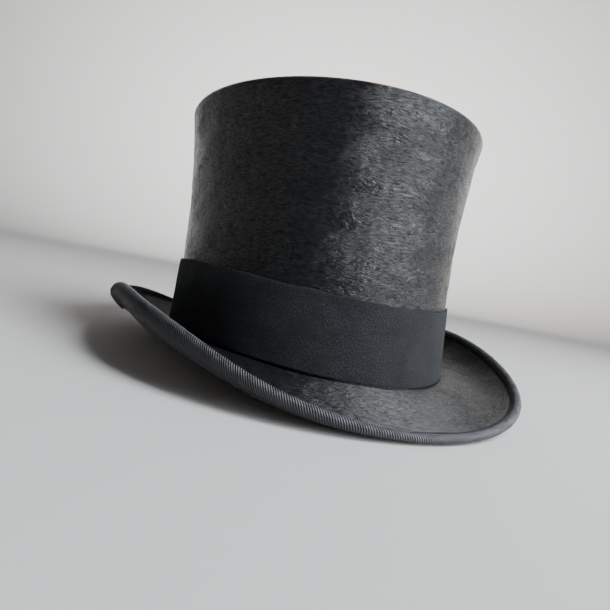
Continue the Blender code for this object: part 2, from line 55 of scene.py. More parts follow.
CROWN_HALF_WIDTH = 0.0862
CROWN_HALF_LENGTH = 0.1030
CROWN_HEIGHT = 0.1493
WIDTH_FLARE = (-0.0120, 0.0113, 0.0055)
LENGTH_FLARE = (-0.0142, 0.0107, 0.0058)
TOP_EDGE_RADIUS = 3.5 * MM
EDGE_START = CROWN_HEIGHT - TOP_EDGE_RADIUS

JOIN_SADDLE = 7.5 * MM
JOIN_BACK_RISE = 6.0 * MM
BRIM_WIDTH = 40.5 * MM
BRIM_WIDTH_WAVE_2 = -4.2 * MM
BRIM_WIDTH_WAVE_4 = -3.6 * MM
EDGE_HEIGHT = 15.2 * MM
EDGE_WAVE_2 = 12.5 * MM
EDGE_WAVE_4 = 2.3 * MM
EDGE_BACK_RISE = 11.9 * MM
EDGE_WAVE_3 = -3.8 * MM
BACK_DIP = 16.0 * MM
BACK_DIP_SHARPNESS = 18
ROLL_SHARPNESS = 1.25
START_ANGLE = (math.radians(-3.0), math.radians(16.5))
RISE_ANGLE = (math.radians(4.0), math.radians(44.0))
END_ANGLE = (math.radians(21.0), math.radians(118.0))
ROLL_RADIUS = (5.0 * MM, -1.8 * MM)
CURVE_PULL = 0.38

# Local shaping of the brim: (angles in degrees, how far it spreads in degrees, change).
REAR_LIFT = ((48, 132), 17, 6.2 * MM)
REAR_START = ((30, 150), 20, math.radians(-5))
REAR_RISE = ((35, 145), 20, math.radians(12))
RIGHT_LIFT = ((215,), 17, 3.0 * MM)
RIGHT_WIDTH = ((200,), 20, 3.0 * MM)
RIGHT_RADIUS = ((200,), 20, -1.0 * MM)
RIGHT_RISE = ((204,), 24, math.radians(28))

BAND_BOTTOM = 2.4 * MM
BAND_TOP = 45.6 * MM
BAND_TOP_SADDLE = 6.0 * MM
BAND_TOP_BACK = 2.3 * MM
LEATHER_BOTTOM = 1.6 * MM
LEATHER_TOP = 46.0 * MM
LINING_BOTTOM = 14.0 * MM
LINING_TOP = CROWN_HEIGHT - 7.0 * MM
TIP_LINING_HEIGHT = CROWN_HEIGHT - 3.6 * MM
REED_INSET = 4.4 * MM
REED_HEIGHT = -0.1 * MM
WELT_RADIUS = 1.15 * MM
BOW_HEIGHT = 24.0 * MM

SIDE_SEAM = math.radians(54)

# --- Shape of the hat ---

top_mount = next(m for m in frame["record"]["mounts"] if m["name"] == "crown_top")
top_axis = Vector(top_mount["axis"])
stance = Matrix.Rotation(-math.atan2(top_axis.y, top_axis.z), 4, "X")
stance.translation = Vector(top_mount["pos_m"]) - stance @ Vector((0, 0, CROWN_HEIGHT))
TURN, SHIFT = np.array(stance.to_3x3()), np.array(stance.translation)


def placed(points):
    """Points of the hat's own frame, standing as the CAD part stands."""
    return np.asarray(points) @ TURN.T + SHIFT


def local(th, shaping):
    """How much a local shaping changes the brim at th."""
    centres, spread, change = shaping
    turns = [(th - math.radians(c) + math.pi) % TAU - math.pi for c in centres]
    return change * sum(np.exp(-((turn / math.radians(spread)) ** 2)) for turn in turns)


def half_axes(z):
    t = z / CROWN_HEIGHT
    return (
        CROWN_HALF_WIDTH + sum(c * t ** (i + 1) for i, c in enumerate(WIDTH_FLARE)),
        CROWN_HALF_LENGTH + sum(c * t ** (i + 1) for i, c in enumerate(LENGTH_FLARE)),
    )


def join_height(th):
    return JOIN_SADDLE * np.cos(th) ** 2 + JOIN_BACK_RISE * np.maximum(0, np.sin(th)) ** 2


def crown(th, inset, z):
    """Points at angle th and height z, inset from the crown's outside. Arrays are broadcast together."""
    th, inset, z = np.broadcast_arrays(th, inset, z)
    a, b = half_axes(z)
    return np.stack([(a - inset) * np.cos(th), (b - inset) * np.sin(th), z], -1)


def crown_edge(th, inset, turn):
    """The rounded top edge: turn 0 is the side and a quarter turn is the top."""
    radius = TOP_EDGE_RADIUS - inset
    points = crown(th, TOP_EDGE_RADIUS - radius * np.cos(turn), EDGE_START + 0 * th)
    points[..., 2] += radius * np.sin(turn)
    return points


def outward(th):
    n = np.stack([CROWN_HALF_LENGTH * np.cos(th), CROWN_HALF_WIDTH * np.sin(th), 0 * th], -1)
    return n / np.linalg.norm(n, axis=-1, keepdims=True)


def edge_height(th):
    return (
        EDGE_HEIGHT
        + EDGE_WAVE_2 * np.cos(2 * th)
        + EDGE_WAVE_4 * np.cos(4 * th)
        + EDGE_BACK_RISE * np.sin(th)
        + EDGE_WAVE_3 * np.sin(3 * th)
        - BACK_DIP * np.maximum(0, np.sin(th)) ** BACK_DIP_SHARPNESS
        + local(th, REAR_LIFT)
        + local(th, RIGHT_LIFT)
    )


class Brim:
    """Middle line of the brim's shell: outward distance, height and slope at each station and angle."""

    RISE_STEPS, ROLL_STEPS = 28, 16

    def __init__(self, th):
        side = np.abs(np.cos(th)) ** ROLL_SHARPNESS
        start, rise, end = (a + b * side for a, b in (START_ANGLE, RISE_ANGLE, END_ANGLE))
        start = start + local(th, REAR_START)
        rise = rise + local(th, REAR_RISE) + local(th, RIGHT_RISE)
        radius = ROLL_RADIUS[0] + ROLL_RADIUS[1] * side + local(th, RIGHT_RADIUS)
        width = BRIM_WIDTH + BRIM_WIDTH_WAVE_2 * np.cos(2 * th) + BRIM_WIDTH_WAVE_4 * np.cos(4 * th)
        width = width + local(th, RIGHT_WIDTH)
        foot = np.stack([0 * th, join_height(th)])
        roll = np.stack([
            width - radius * (np.sin(end) - np.sin(rise)),
            edge_height(th) - radius * (np.cos(rise) - np.cos(end)),
        ])
        pull = CURVE_PULL * np.linalg.norm(roll - foot, axis=0)
        handles = [
            foot,
            foot + pull * np.stack([np.cos(start), np.sin(start)]),
            roll - pull * np.stack([np.cos(rise), np.sin(rise)]),
            roll,
        ]
        t = np.linspace(0, 1, self.RISE_STEPS + 1)[:, None]
        s = 1 - t
        weights = (s**3, 3 * s * s * t, 3 * s * t * t, t**3)
        spot = sum(w[:, None] * h[None] for w, h in zip(weights, handles))
        ways = [b - a for a, b in zip(handles, handles[1:])]
        way = sum(w[:, None] * d[None] for w, d in zip((3 * s * s, 6 * s * t, 3 * t * t), ways))
        u, v, angle = [spot[:, 0]], [spot[:, 1]], [np.arctan2(way[:, 1], way[:, 0])]
        turn = rise + (end - rise) * np.linspace(0, 1, self.ROLL_STEPS + 1)[1:, None]
        u.append(roll[0] + radius * (np.sin(turn) - np.sin(rise)))
        v.append(roll[1] + radius * (np.cos(rise) - np.cos(turn)))
        angle.append(turn)
        self.th = th
        self.u, self.v, self.angle = np.vstack(u), np.vstack(v), np.vstack(angle)
        steps = np.hypot(np.diff(self.u, axis=0), np.diff(self.v, axis=0))
        self.arc = np.vstack([0 * th, np.cumsum(steps, axis=0)])
        self.length = self.arc[-1]

    def at(self, arc, height=0.0):
        """Points at a distance from the crown along the section, a height off it. arc is (rows, angles)."""
        rows = np.atleast_2d(arc).shape[0]
        arc = np.broadcast_to(arc, (rows, len(self.th)))
        height = np.broadcast_to(height, arc.shape)
        out = np.empty(arc.shape + (3,))
        measures = (self.u, self.v, self.angle)
        for i, th in enumerate(self.th):
            u, v, angle = (np.interp(arc[:, i], self.arc[:, i], m[:, i]) for m in measures)
            over = np.clip(arc[:, i] - self.length[i], 0, None) + np.clip(arc[:, i], None, 0)
            u = u + over * np.cos(angle) - height[:, i] * np.sin(angle)
            v = v + over * np.sin(angle) + height[:, i] * np.cos(angle)
            base = np.array([CROWN_HALF_WIDTH * math.cos(th), CROWN_HALF_LENGTH * math.sin(th), 0])
            out[:, i] = base + u[:, None] * outward(th) + np.stack([0 * v, 0 * v, v], -1)
        return out


def around(count, start=LEFT, turn=TAU, closed=True):
    """Even angles from the start. closed leaves out the last one, which meets the first."""
    return start + np.linspace(0, turn, count, endpoint=not closed)


def open_round(count, join, gap):
    """Even angles from just past a join to just short of it."""
    return around(count, join + gap, TAU - 2 * gap, closed=False)


def arc_length(th, half_width=CROWN_HALF_WIDTH, half_length=CROWN_HALF_LENGTH):
    """Distance round the oval from the first angle."""
    step = np.hypot(half_width * np.sin(th), half_length * np.cos(th))
    return np.concatenate([[0], np.cumsum((step[1:] + step[:-1]) / 2 * np.diff(th))])


def ripple(u, v, seed, wavelength, stretch=1.0, count=24):
    """Smooth random height, about 1 high. u and v are in metres; stretch lengthens it along u."""
    dice = np.random.default_rng(seed)
    total = 0
    for _ in range(count):
        way, long = dice.uniform(0, TAU), wavelength * dice.uniform(0.6, 1.8)
        total = total + np.sin(
            TAU / long * (u * math.cos(way) / stretch + v * math.sin(way)) + dice.uniform(0, TAU)
        )
    return total / math.sqrt(count / 2)


def dying(distance, over):
    """1 far from an edge, falling to 0 at it over the last stretch."""
    return np.clip(distance / over, 0, 1)


def periodic(th, seed, waves=(2, 9), count=8):
    """Smooth random height that repeats round the hat, about 1 high."""
    dice = np.random.default_rng(seed)
    total = 0
    for _ in range(count):
        total = total + np.sin(dice.integers(*waves) * th + dice.uniform(0, TAU))
    return total / math.sqrt(count / 2)


# --- Meshes ---


def linked(name, data):
    """A new object in the scene."""
    made = bpy.data.objects.new(name, data)
    bpy.context.scene.collection.objects.link(made)
    return made


def meshed(name, points, faces, uvs):
    """A smooth mesh through points of the hat's own frame, with a UV map "nap" in metres."""
    mesh = bpy.data.meshes.new(name)
    mesh.from_pydata(placed(points), [], faces)
    layer = mesh.uv_layers.new(name="nap")
    layer.data.foreach_set("uv", np.asarray(uvs, np.float32).reshape(-1))
    mesh.shade_smooth()
    return linked(name, mesh)


def cells(grid):
    """The four corners of every cell of a grid."""
    return np.stack([grid[:-1, :-1], grid[:-1, 1:], grid[1:, 1:], grid[1:, :-1]], 2)


def surface(name, points, along, across, closed=True, looped=False, flip=False):
    """A mesh through points (rows, columns, 3).

    closed joins the last column to the first, and looped the last row to the first.
    along and across are the UVs, with one more column than points where closed.
    """
    points = np.asarray(points)
    rows, cols = points.shape[:2]
    index = np.arange(rows * cols).reshape(rows, cols)
    if closed:
        index = np.hstack([index, index[:, :1]])
    if looped:
        index = np.vstack([index, index[:1]])
    uv = np.stack([np.broadcast_to(along, index.shape), np.broadcast_to(across, index.shape)], -1)
    quads, uvs = cells(index).reshape(-1, 4), cells(uv).reshape(-1, 4, 2)
    if flip:
        quads, uvs = quads[:, ::-1], uvs[:, ::-1]
    return meshed(name, points.reshape(-1, 3), quads.tolist(), uvs)


def thicken(piece, thickness, offset=-1.0):
    modifier = piece.modifiers.new("Thickness", "SOLIDIFY")
    modifier.thickness = thickness
    modifier.offset = offset
    modifier.use_even_offset = False


def wearing(piece, finish, slot, *replaced):
    """Gives the piece its material, and puts it in place of CAD nodes. The slot is not used."""
    piece.data.materials.clear()
    piece.data.materials.append(finish)
    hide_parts(*replaced)
    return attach(piece, "root")


THREAD_SHARE = 0.35  # the share of its radius that a thread has all along, before it swells in its middle
THREAD_UV = 0.5 * MM


def rods(name, starts, ends, lifts, radius, sides=6, steps=6):
    """Many short round threads from starts to ends, each bowed up by its lift, as one mesh."""
    starts, ends, lifts = (np.asarray(x, float) for x in (starts, ends, lifts))
    points, faces, uvs = [], [], []
    for a, b, lift in zip(starts, ends, lifts):
        run = b - a
        run /= np.linalg.norm(run)
        out = lift / np.linalg.norm(lift)
        cross = np.cross(run, out)
        base = len(points)
        for i in range(steps + 1):
            t = i / steps
            swell = math.sin(math.pi * min(max(t, 0.08), 0.92)) ** 0.5
            fat = radius * (THREAD_SHARE + (1 - THREAD_SHARE) * swell)
            centre = a + (b - a) * t + lift * math.sin(math.pi * t)
            for j in range(sides):
                turn = TAU * j / sides
                points.append(centre + fat * (out * math.cos(turn) + cross * math.sin(turn)))
        for i in range(steps):
            for j in range(sides):
                k = (j + 1) % sides
                at, up = base + i * sides, base + (i + 1) * sides
                faces.append((at + j, at + k, up + k, up + j))
                uvs += [(i, j), (i, j + 1), (i + 1, j + 1), (i + 1, j)]
        caps = ((0, range(sides)[::-1]), (steps, range(sides)))
        for i, order in caps:
            faces.append(tuple(base + i * sides + j for j in order))
            uvs += [(i, j) for j in range(sides)]
    return meshed(name, np.array(points), faces, THREAD_UV * np.array(uvs))


def seam(name, th, z, half, inset, rise, lift, radius):
    """Slanting stitches at heights z, one above another, from half before th to half past it."""
    starts, ends = crown(th - half, inset, z), crown(th + half, inset, z + rise)
    lifts = np.broadcast_to(lift * outward(np.array(th)), starts.shape)
    return rods(name, starts, ends, lifts, radius)


# --- Materials ---

RIB_PITCH = 1.22 * MM
RIB_LEAN = 0.42  # how far a rib runs along the ribbon for each metre across it
WEAVE_SCALE = 222.93  # gives a wave texture 710 bands in a metre

PILE_ROOT, PILE_TIP = (0.0030, 0.0032, 0.0038), (0.0110, 0.0118, 0.0140)
PILE_CRUSHED = (0.0030, 0.0030, 0.0034)
WORN_BROWN = (0.085, 0.062, 0.042)
FADED_BROWN = (0.034, 0.028, 0.021)
FADED_BELOW, FADED_ABOVE = 95 * MM, 140 * MM  # the sunburn is full below one height and faint above the other
# The groove colours are painted shade between the ribs, the second with dust in it.
GROOVE_SHADE, GROOVE_SHADE_DUSTY = (0.0022, 0.0024, 0.0030), (0.0040, 0.0042, 0.0052)
# The lighter crest colour is rubbed wear and painted sheen on the top of the binding.
RIB_CREST, RIB_CREST_RUBBED_AND_LIT = (0.010, 0.0105, 0.013), (0.250, 0.255, 0.275)


def shade(colour, *shares):
    """The colour times a share, or times one share for each of red, green and blue."""
    return tuple(c * k for c, k in zip(colour, shares if len(shares) == 3 else shares * 3))


class Finish:
    """A Principled material, with short ways to add and join nodes."""

    def __init__(self, name, **sockets):
        self.material = bpy.data.materials.new(name)
        self.material.use_nodes = True
        self.tree = self.material.node_tree
        self.shader = self.tree.nodes["Principled BSDF"]
        for key, value in sockets.items():
            self.put(self.shader, key.replace("_", " "), value)

    def put(self, node, socket, value):
        target = node.inputs[socket]
        if isinstance(value, bpy.types.NodeSocket):
            self.tree.links.new(value, target)
        else:
            target.default_value = value

    def node(self, kind, out=0, props=None, **inputs):
        """Adds a node and gives one of its outputs. Inputs go by name, or by number as i0, i1 and so on."""
        made = self.tree.nodes.new("ShaderNode" + kind)
        for key, value in (props or {}).items():
            setattr(made, key, value)
        for key, value in inputs.items():
            numbered = key[0] == "i" and key[1:].isdigit()
            self.put(made, int(key[1:]) if numbered else key.replace("_", " "), value)
        return made.outputs[out]

    def math(self, operation, a, b=0.0, c=0.0):
        return self.node("Math", props={"operation": operation}, i0=a, i1=b, i2=c)

    def times(self, a, b):
        return self.math("MULTIPLY", a, b)

    def plus(self, a, b):
        return self.math("ADD", a, b)

    def shifted(self, value, by, amount):
        """The value plus amount times by."""
        return self.math("MULTIPLY_ADD", by, amount, value)

    def uv(self):
        """The two UVs, in metres."""
        split = self.tree.nodes.new("ShaderNodeSeparateXYZ")
        self.put(split, 0, self.node("UVMap", props={"uv_map": "nap"}))
        return split.outputs[0], split.outputs[1]

    def own_space(self):
        """Coordinates in the object's own space, in metres."""
        return self.node("TexCoord", out=3)

    def brush_along_u(self):
        """Makes the shader's lengthwise shine follow u."""
        tangent = self.node("Tangent", props={"direction_type": "UV_MAP", "uv_map": "nap"})
        self.put(self.shader, "Tangent", tangent)

    def noise(self, u, v, per_u, per_v, detail=2.0, rough=0.5, offset=0.0):
        """Noise over the UVs with per_u and per_v blobs in a metre."""
        where = self.node("CombineXYZ", i0=self.times(u, per_u), i1=self.times(v, per_v), i2=offset)
        return self.node("TexNoise", Vector=where, Scale=1.0, Detail=detail, Roughness=rough)

    def solid_noise(self, scale, detail=2.0, rough=0.5, offset=0.0):
        """Noise over the object's own space, with scale blobs in a metre."""
        moved = self.node("VectorMath", props={"operation": "ADD"}, i0=self.own_space(), i1=(offset,) * 3)
        return self.node("TexNoise", Vector=moved, Scale=scale, Detail=detail, Roughness=rough)

    def wave(self, direction, where, scale, distortion):
        return self.node("TexWave", props={"bands_direction": direction}, Vector=where, Scale=scale,
                         Distortion=distortion, Detail=2.0)

    def ramp(self, value, low, high, start=0.0, end=1.0):
        return self.node("MapRange", props={"clamp": True, "interpolation_type": "SMOOTHSTEP"},
                         i0=value, i1=low, i2=high, i3=start, i4=end)

    def stretch(self, value, ends):
        """1 between the middle two of four ends, and falling to 0 at the outer two."""
        return self.times(self.ramp(value, ends[0], ends[1]), self.ramp(value, ends[3], ends[2]))

    def mix(self, share, a, b):
        a, b = ((*c, 1) if isinstance(c, tuple) and len(c) == 3 else c for c in (a, b))
        return self.node("Mix", out=2, props={"data_type": "RGBA"}, i0=share, i6=a, i7=b)

    def finish(self, colour, roughness, *layers):
        """Joins up the shader. A layer of relief is a texture and its height in metres."""
        height = 0.0
        for texture, size in layers:
            height = self.shifted(height, texture, size)
        self.put(self.shader, "Base Color", colour)
        self.put(self.shader, "Roughness", roughness)
        self.put(self.shader, "Normal", self.node("Bump", Height=height, Strength=1.0, Distance=1.0))
        return self.material


def plush(name, worn=None, faded=None, lay=0.0, shine=1.0, dull=None):
    """Silk plush: black pile brushed along u. It shines across the pile, less where the pile is ruffled.

    worn is the stretch of v over which it wears through to brown, and faded and dull are the stretches of u
    where it is sunburnt and where it is crushed and matt. lay spreads the shine further across the pile.
    """
    f = Finish(name, Anisotropic=0.87, Anisotropic_Rotation=0.25)
    f.brush_along_u()
    u, v = f.uv()
    v2 = f.shifted(v, f.noise(u, v, 45, 60), 0.008)
    u2 = f.shifted(u, f.noise(u, v, 60, 60, offset=7.0), 0.004)
    hair = f.noise(u2, v2, 280, 1500, 3.0, 0.7, 3.0)
    lock = f.noise(u2, v2, 130, 480, 3.0, 0.6)
    tuft = f.noise(u2, v2, 190, 330, 3.0, 0.62, 2.0)
    strand = f.noise(u2, v2, 260, 1100, 2.0, 0.65, 13.0)
    patch = f.noise(u, v2, 48, 62, 3.0, 0.6, 5.0)
    fold = f.noise(u, v, 55, 5, 1.0, 0.5, 11.0)
    ruffle = f.ramp(f.shifted(f.noise(u, v, 34, 48, 3.0, 0.6, 9.0), tuft, 0.35), 0.66, 0.86)
    frizz = f.times(ruffle, f.noise(u, v, 420, 600, 2.0, 0.6, 2.0))
    tips = f.plus(f.ramp(hair, 0.38, 0.64, 0.0, 0.65), f.ramp(lock, 0.40, 0.62, 0.0, 0.35))
    colour = f.mix(f.times(ruffle, 0.6), f.mix(tips, PILE_ROOT, PILE_TIP), PILE_CRUSHED)
    level = f.ramp(strand, 0.37, 0.61, 0.32 * shine, 0.66 * shine)
    level = f.times(level, f.ramp(tuft, 0.36, 0.52, 0.72, 1.0))
    gloss = f.plus(f.ramp(tuft, 0.36, 0.64, 0.22 + lay, 0.34 + lay), f.ramp(hair, 0.38, 0.62, 0.12, 0.0))
    roughness = f.shifted(gloss, ruffle, 0.16)
    if worn is not None:
        edge = f.ramp(f.shifted(v, f.noise(u, v, 300, 900, 3.0, 0.6, 4.0), 1.0 * MM), *worn)
        thin = f.times(edge, f.ramp(f.noise(u, v, 90, 200, 2.0, 0.5, 6.0), 0.25, 0.58))
        colour = f.mix(thin, colour, WORN_BROWN)
    if faded is not None:
        blotch = f.ramp(f.noise(u, v, 40, 90, 3.0, 0.6, 8.0), 0.30, 0.66, 0.20, 1.0)
        brown = f.times(f.times(f.stretch(u, faded), blotch), f.ramp(v, FADED_ABOVE, FADED_BELOW, 0.25, 1.0))
        colour = f.mix(brown, colour, FADED_BROWN)
        level = f.times(level, f.ramp(brown, 0.0, 1.0, 1.0, 0.62))
        roughness = f.shifted(roughness, brown, 0.12)
    if dull is not None:
        crushed = f.stretch(u, dull)
        level = f.times(level, f.ramp(crushed, 0.0, 1.0, 1.0, 0.12))
        roughness = f.shifted(roughness, crushed, 0.25)
    f.put(f.shader, "Specular IOR Level", level)
    return f.finish(colour, roughness, (hair, 0.62 * MM), (strand, 0.40 * MM), (fold, 1.1 * MM),
                    (lock, 0.22 * MM), (tuft, 0.42 * MM), (patch, 1.0 * MM), (frizz, 0.35 * MM))


def wool(name, low, high, fuzz=0.06):
    """Close wool cloth: matt, with a fine speckle of light fibre ends."""
    f = Finish(name, Specular_IOR_Level=0.12, Sheen_Weight=fuzz, Sheen_Roughness=0.6,
               Sheen_Tint=(0.90, 0.95, 1.0, 1))
    u, v = f.uv()
    weave = f.noise(u, v, 1250, 1250, 3.0, 0.7)
    twill = f.wave("DIAGONAL", f.node("CombineXYZ", i0=f.times(u, 330), i1=f.times(v, 330)), 1.0, 6.0)
    fleck = f.ramp(f.noise(u, v, 1700, 1700, 1.0, 0.5, 3.0), 0.58, 0.70)
    cloud = f.noise(u, v, 45, 60, 3.0, 0.6, 8.0)
    colour = f.mix(f.ramp(weave, 0.35, 0.65), low, high)
    colour = f.mix(f.times(fleck, 0.6), colour, shade(high, 3.4))
    colour = f.mix(f.ramp(cloud, 0.35, 0.70, 0.0, 0.4), colour, shade(low, 0.6))
    return f.finish(colour, f.ramp(weave, 0.3, 0.7, 0.98, 0.88),
                    (weave, 0.45 * MM), (twill, 0.05 * MM), (cloud, 0.5 * MM))


def grosgrain(name):
    """Ribbed silk ribbon: its grooves are painted darker than its crests as painted shade, and its crests are
    painted lighter over the top and the fold, as rubbed wear and painted sheen, fading to painted shade
    underneath.
    """
    f = Finish(name, Specular_IOR_Level=0.32)
    u, v = f.uv()
    thread = f.noise(u, v, 900, 5200, 2.0, 0.6)
    cloud = f.noise(u, v, 60, 300, 3.0, 0.6, 5.0)
    # Crests lighter over the top face and the upper fold, partly rubbed wear and partly painted sheen, fading
    # to painted shade under the brim.
    rubbed_and_lit = f.times(f.ramp(v, 1.0 * MM, 5.0 * MM), f.ramp(v, 16.0 * MM, 8.0 * MM, 0.06, 0.76))
    rubbed_and_lit = f.times(rubbed_and_lit, f.ramp(f.noise(u, v, 140, 500, 3.0, 0.6, 2.0), 0.30, 0.60, 0.4, 1.0))
    phase = f.math("MULTIPLY_ADD", u, TAU / RIB_PITCH, f.times(v, -RIB_LEAN * TAU / RIB_PITCH))
    # Grooves darker than crests: painted shade between the ribs.
    crest = f.ramp(f.math("COSINE", phase), -0.25, 0.75)
    low = f.mix(f.ramp(cloud, 0.35, 0.68), GROOVE_SHADE, GROOVE_SHADE_DUSTY)
    high = f.mix(rubbed_and_lit, RIB_CREST, RIB_CREST_RUBBED_AND_LIT)
    return f.finish(f.mix(crest, low, high), f.ramp(cloud, 0.3, 0.7, 0.42, 0.58),
                    (thread, 0.10 * MM), (cloud, 0.12 * MM))


def cotton(name, low, high, stiff=0.0):
    """Plain-woven cotton or muslin; stiff adds a coat of shellac."""
    f = Finish(name, Specular_IOR_Level=0.4, Coat_Weight=stiff, Coat_Roughness=0.35)
    warp, weft = (f.wave(direction, f.own_space(), WEAVE_SCALE, 1.5) for direction in ("Z", "DIAGONAL"))
    weave = f.math("MAXIMUM", warp, weft)
    stain = f.solid_noise(40, 4.0, 0.6)
    colour = f.mix(f.times(weave, 0.25), f.mix(f.ramp(stain, 0.35, 0.68), low, high), shade(low, 0.6))
    return f.finish(colour, f.ramp(stain, 0.3, 0.7, 0.55, 0.8), (weave, 0.12 * MM))


def leather(name, low, high):
    """Thin roan leather, darkened and cracked by wear."""
    f = Finish(name, Specular_IOR_Level=0.5)
    pores = f.node("TexVoronoi", Vector=f.own_space(), Scale=1500.0, Randomness=1.0)
    crease = f.solid_noise(260, 5.0, 0.65, 3.0)
    grease = f.ramp(f.noise(*f.uv(), 18, 30, 4.0, 0.6, 3.0), 0.40, 0.68)
    colour = f.mix(f.ramp(crease, 0.35, 0.65), low, high)
    colour = f.mix(f.times(grease, 0.6), colour, shade(low, 0.35))
    return f.finish(colour, f.ramp(grease, 0.0, 1.0, 0.55, 0.38), (pores, 0.10 * MM), (crease, 0.35 * MM))


def satin(name, low, high):
    """Satin: long floats along u, with a soft lengthwise gloss and faint age marks."""
    f = Finish(name, Specular_IOR_Level=0.55, Anisotropic=0.5, Sheen_Weight=0.15, Sheen_Roughness=0.3)
    f.brush_along_u()
    u, v = f.uv()
    threads, length = 2600, 12  # threads in a metre, and how many times longer than wide a float is
    floats = f.noise(u, v, threads / length, threads, 2.0, 0.6)
    age = f.noise(u, v, 22, 22, 5.0, 0.62, 4.0)
    colour = f.mix(f.ramp(floats, 0.3, 0.7), low, high)
    colour = f.mix(f.ramp(age, 0.52, 0.75, 0.0, 0.55), colour, shade(low, 0.72, 0.60, 0.42))
    return f.finish(colour, f.ramp(age, 0.3, 0.7, 0.30, 0.46), (floats, 0.06 * MM), (age, 0.5 * MM))


def thread_finish(name, colour):
    """Twisted sewing thread."""
    f = Finish(name, Specular_IOR_Level=0.35, Sheen_Weight=0.3, Sheen_Roughness=0.5)
    twist = f.wave("DIAGONAL", f.own_space(), 700.0, 1.0)
    fluff = f.solid_noise(2500, 2.0, 0.6)
    tone = f.mix(f.ramp(fluff, 0.3, 0.7), shade(colour, 0.7), shade(colour, 1.3))
    return f.finish(tone, f.ramp(fluff, 0.3, 0.7, 0.6, 0.85), (twist, 0.06 * MM), (fluff, 0.05 * MM))


def cane(name):
    """Split cane, pale and a little shiny."""
    f = Finish(name, Specular_IOR_Level=0.4)
    grain = f.solid_noise(900, 3.0, 0.6)
    colour = f.mix(grain, (0.42, 0.30, 0.16), (0.60, 0.45, 0.26))
    return f.finish(colour, f.ramp(grain, 0.3, 0.7, 0.5, 0.7), (grain, 0.1 * MM))


def oilcloth(name):
    """Glazed cloth with a net of fine cracks."""
    f = Finish(name, Specular_IOR_Level=0.5, Coat_Weight=0.3, Coat_Roughness=0.3)
    crackle = f.node("TexVoronoi", props={"feature": "DISTANCE_TO_EDGE"}, Vector=f.own_space(), Scale=600.0)
    rubbed = f.solid_noise(120, 4.0, 0.6)
    colour = f.mix(f.ramp(rubbed, 0.4, 0.7), (0.030, 0.024, 0.020), (0.085, 0.066, 0.050))
    return f.finish(colour, f.ramp(rubbed, 0.3, 0.7, 0.35, 0.6), (f.ramp(crackle, 0.0, 0.1), 0.06 * MM))


# --- Camera, floor and light ---

VIEW_TURN = math.radians(-30.56)
VIEW_RISE = math.radians(1.73)
VIEW_ROLL = math.radians(9.14)
VIEW_TARGET = (0.3 * MM, 0, 34.3 * MM)
VIEW_DISTANCE = 0.345
LENS = 29.55

FLOOR_RADIUS, FLOOR_CORNER, FLOOR_TOP = 4.0, 2.4, 3.6
FLOOR_DROP = 0.65 * MM  # puts the floor where the ribbed binding's lowest crests touch it

# Name, azimuth, distance, height, height aimed at, size, power, colour and spread in degrees.
LIGHTS = (
    ("window", 31, 1.4, 0.62, 0.08, (0.72, 1.2), 11.5, (0.88, 0.94, 1.0), 95),
    ("window_high", 31, 1.5, 2.0, 0, (0.8, 0.9), 11.5, (0.92, 0.96, 1.0), 80),
    ("window_side", 64, 1.5, 0.62, 0.08, (0.20, 1.2), 0.9, (0.90, 0.95, 1.0), 95),
    ("wall_right", 108, 1.9, 0.70, 0.06, (0.9, 1.0), 0.7, (0.97, 0.98, 1.0), 75),
)


def add_camera():
    data = bpy.data.cameras.new("camera")
    data.lens, data.sensor_width, data.clip_start = LENS, 36, 0.01
    level = math.cos(VIEW_RISE)
    back = Vector((math.sin(VIEW_TURN) * level, -math.cos(VIEW_TURN) * level, math.sin(VIEW_RISE)))
    right = Vector((0, 0, 1)).cross(back).normalized()
    up = back.cross(right)
    turned_right = math.cos(VIEW_ROLL) * right + math.sin(VIEW_ROLL) * up
    turned_up = math.cos(VIEW_ROLL) * up - math.sin(VIEW_ROLL) * right
    matrix = Matrix((turned_right, turned_up, back)).transposed().to_4x4()
    matrix.translation = Vector(VIEW_TARGET) + VIEW_DISTANCE * back
    camera = linked("camera", data)
    camera.matrix_world = stance @ matrix
    bpy.context.scene.camera = camera


def add_stage():
    """A pale floor that curves up far away all round, like a studio's dish."""
    count, bends = 96, 24
    profile = [(0.4, 0.0), (0.8, 0.0), (FLOOR_RADIUS - FLOOR_CORNER, 0.0)]
    for turn in np.linspace(0, math.pi / 2, bends + 1)[1:]:
        inside = FLOOR_CORNER * (1 - math.sin(turn))
        profile.append((FLOOR_RADIUS - inside, FLOOR_CORNER * (1 - math.cos(turn))))
    profile.append((FLOOR_RADIUS, FLOOR_TOP))
    points = [(0, 0, 0)]
    for r, z in profile:
        points += [(r * math.cos(th), r * math.sin(th), z) for th in around(count)]
    faces = [(0, 1 + i, 1 + (i + 1) % count) for i in range(count)]
    for ring in range(len(profile) - 1):
        low, high = 1 + ring * count, 1 + (ring + 1) * count
        for i in range(count):
            j = (i + 1) % count
            faces.append((low + i, high + i, high + j, low + j))
    mesh = bpy.data.meshes.new("studio_floor")
    mesh.from_pydata(points, [], faces)
    mesh.shade_smooth()
    floor = linked("studio_floor", mesh)
    floor.location.z = -FLOOR_DROP
    paint = Finish("studio_paint", Base_Color=(0.70, 0.685, 0.67, 1), Roughness=0.9, Specular_IOR_Level=0.1)
    mesh.materials.append(paint.material)


def towards(azimuth, distance, height):
    """A place round the hat. Azimuth 0 is in front of it and turns towards the wearer's left."""
    turn = math.radians(azimuth)
    return Vector((distance * math.sin(turn), -distance * math.cos(turn), height))


def add_light(name, place, target, size, power, colour, spread):
    data = bpy.data.lights.new(name, "AREA")
    data.shape, data.size, data.size_y = "RECTANGLE", size[0], size[1]
    data.energy, data.color, data.spread = power, colour, math.radians(spread)
    lamp = linked(name, data)
    lamp.location = place
    lamp.rotation_euler = (Vector(target) - place).to_track_quat("-Z", "Y").to_euler()


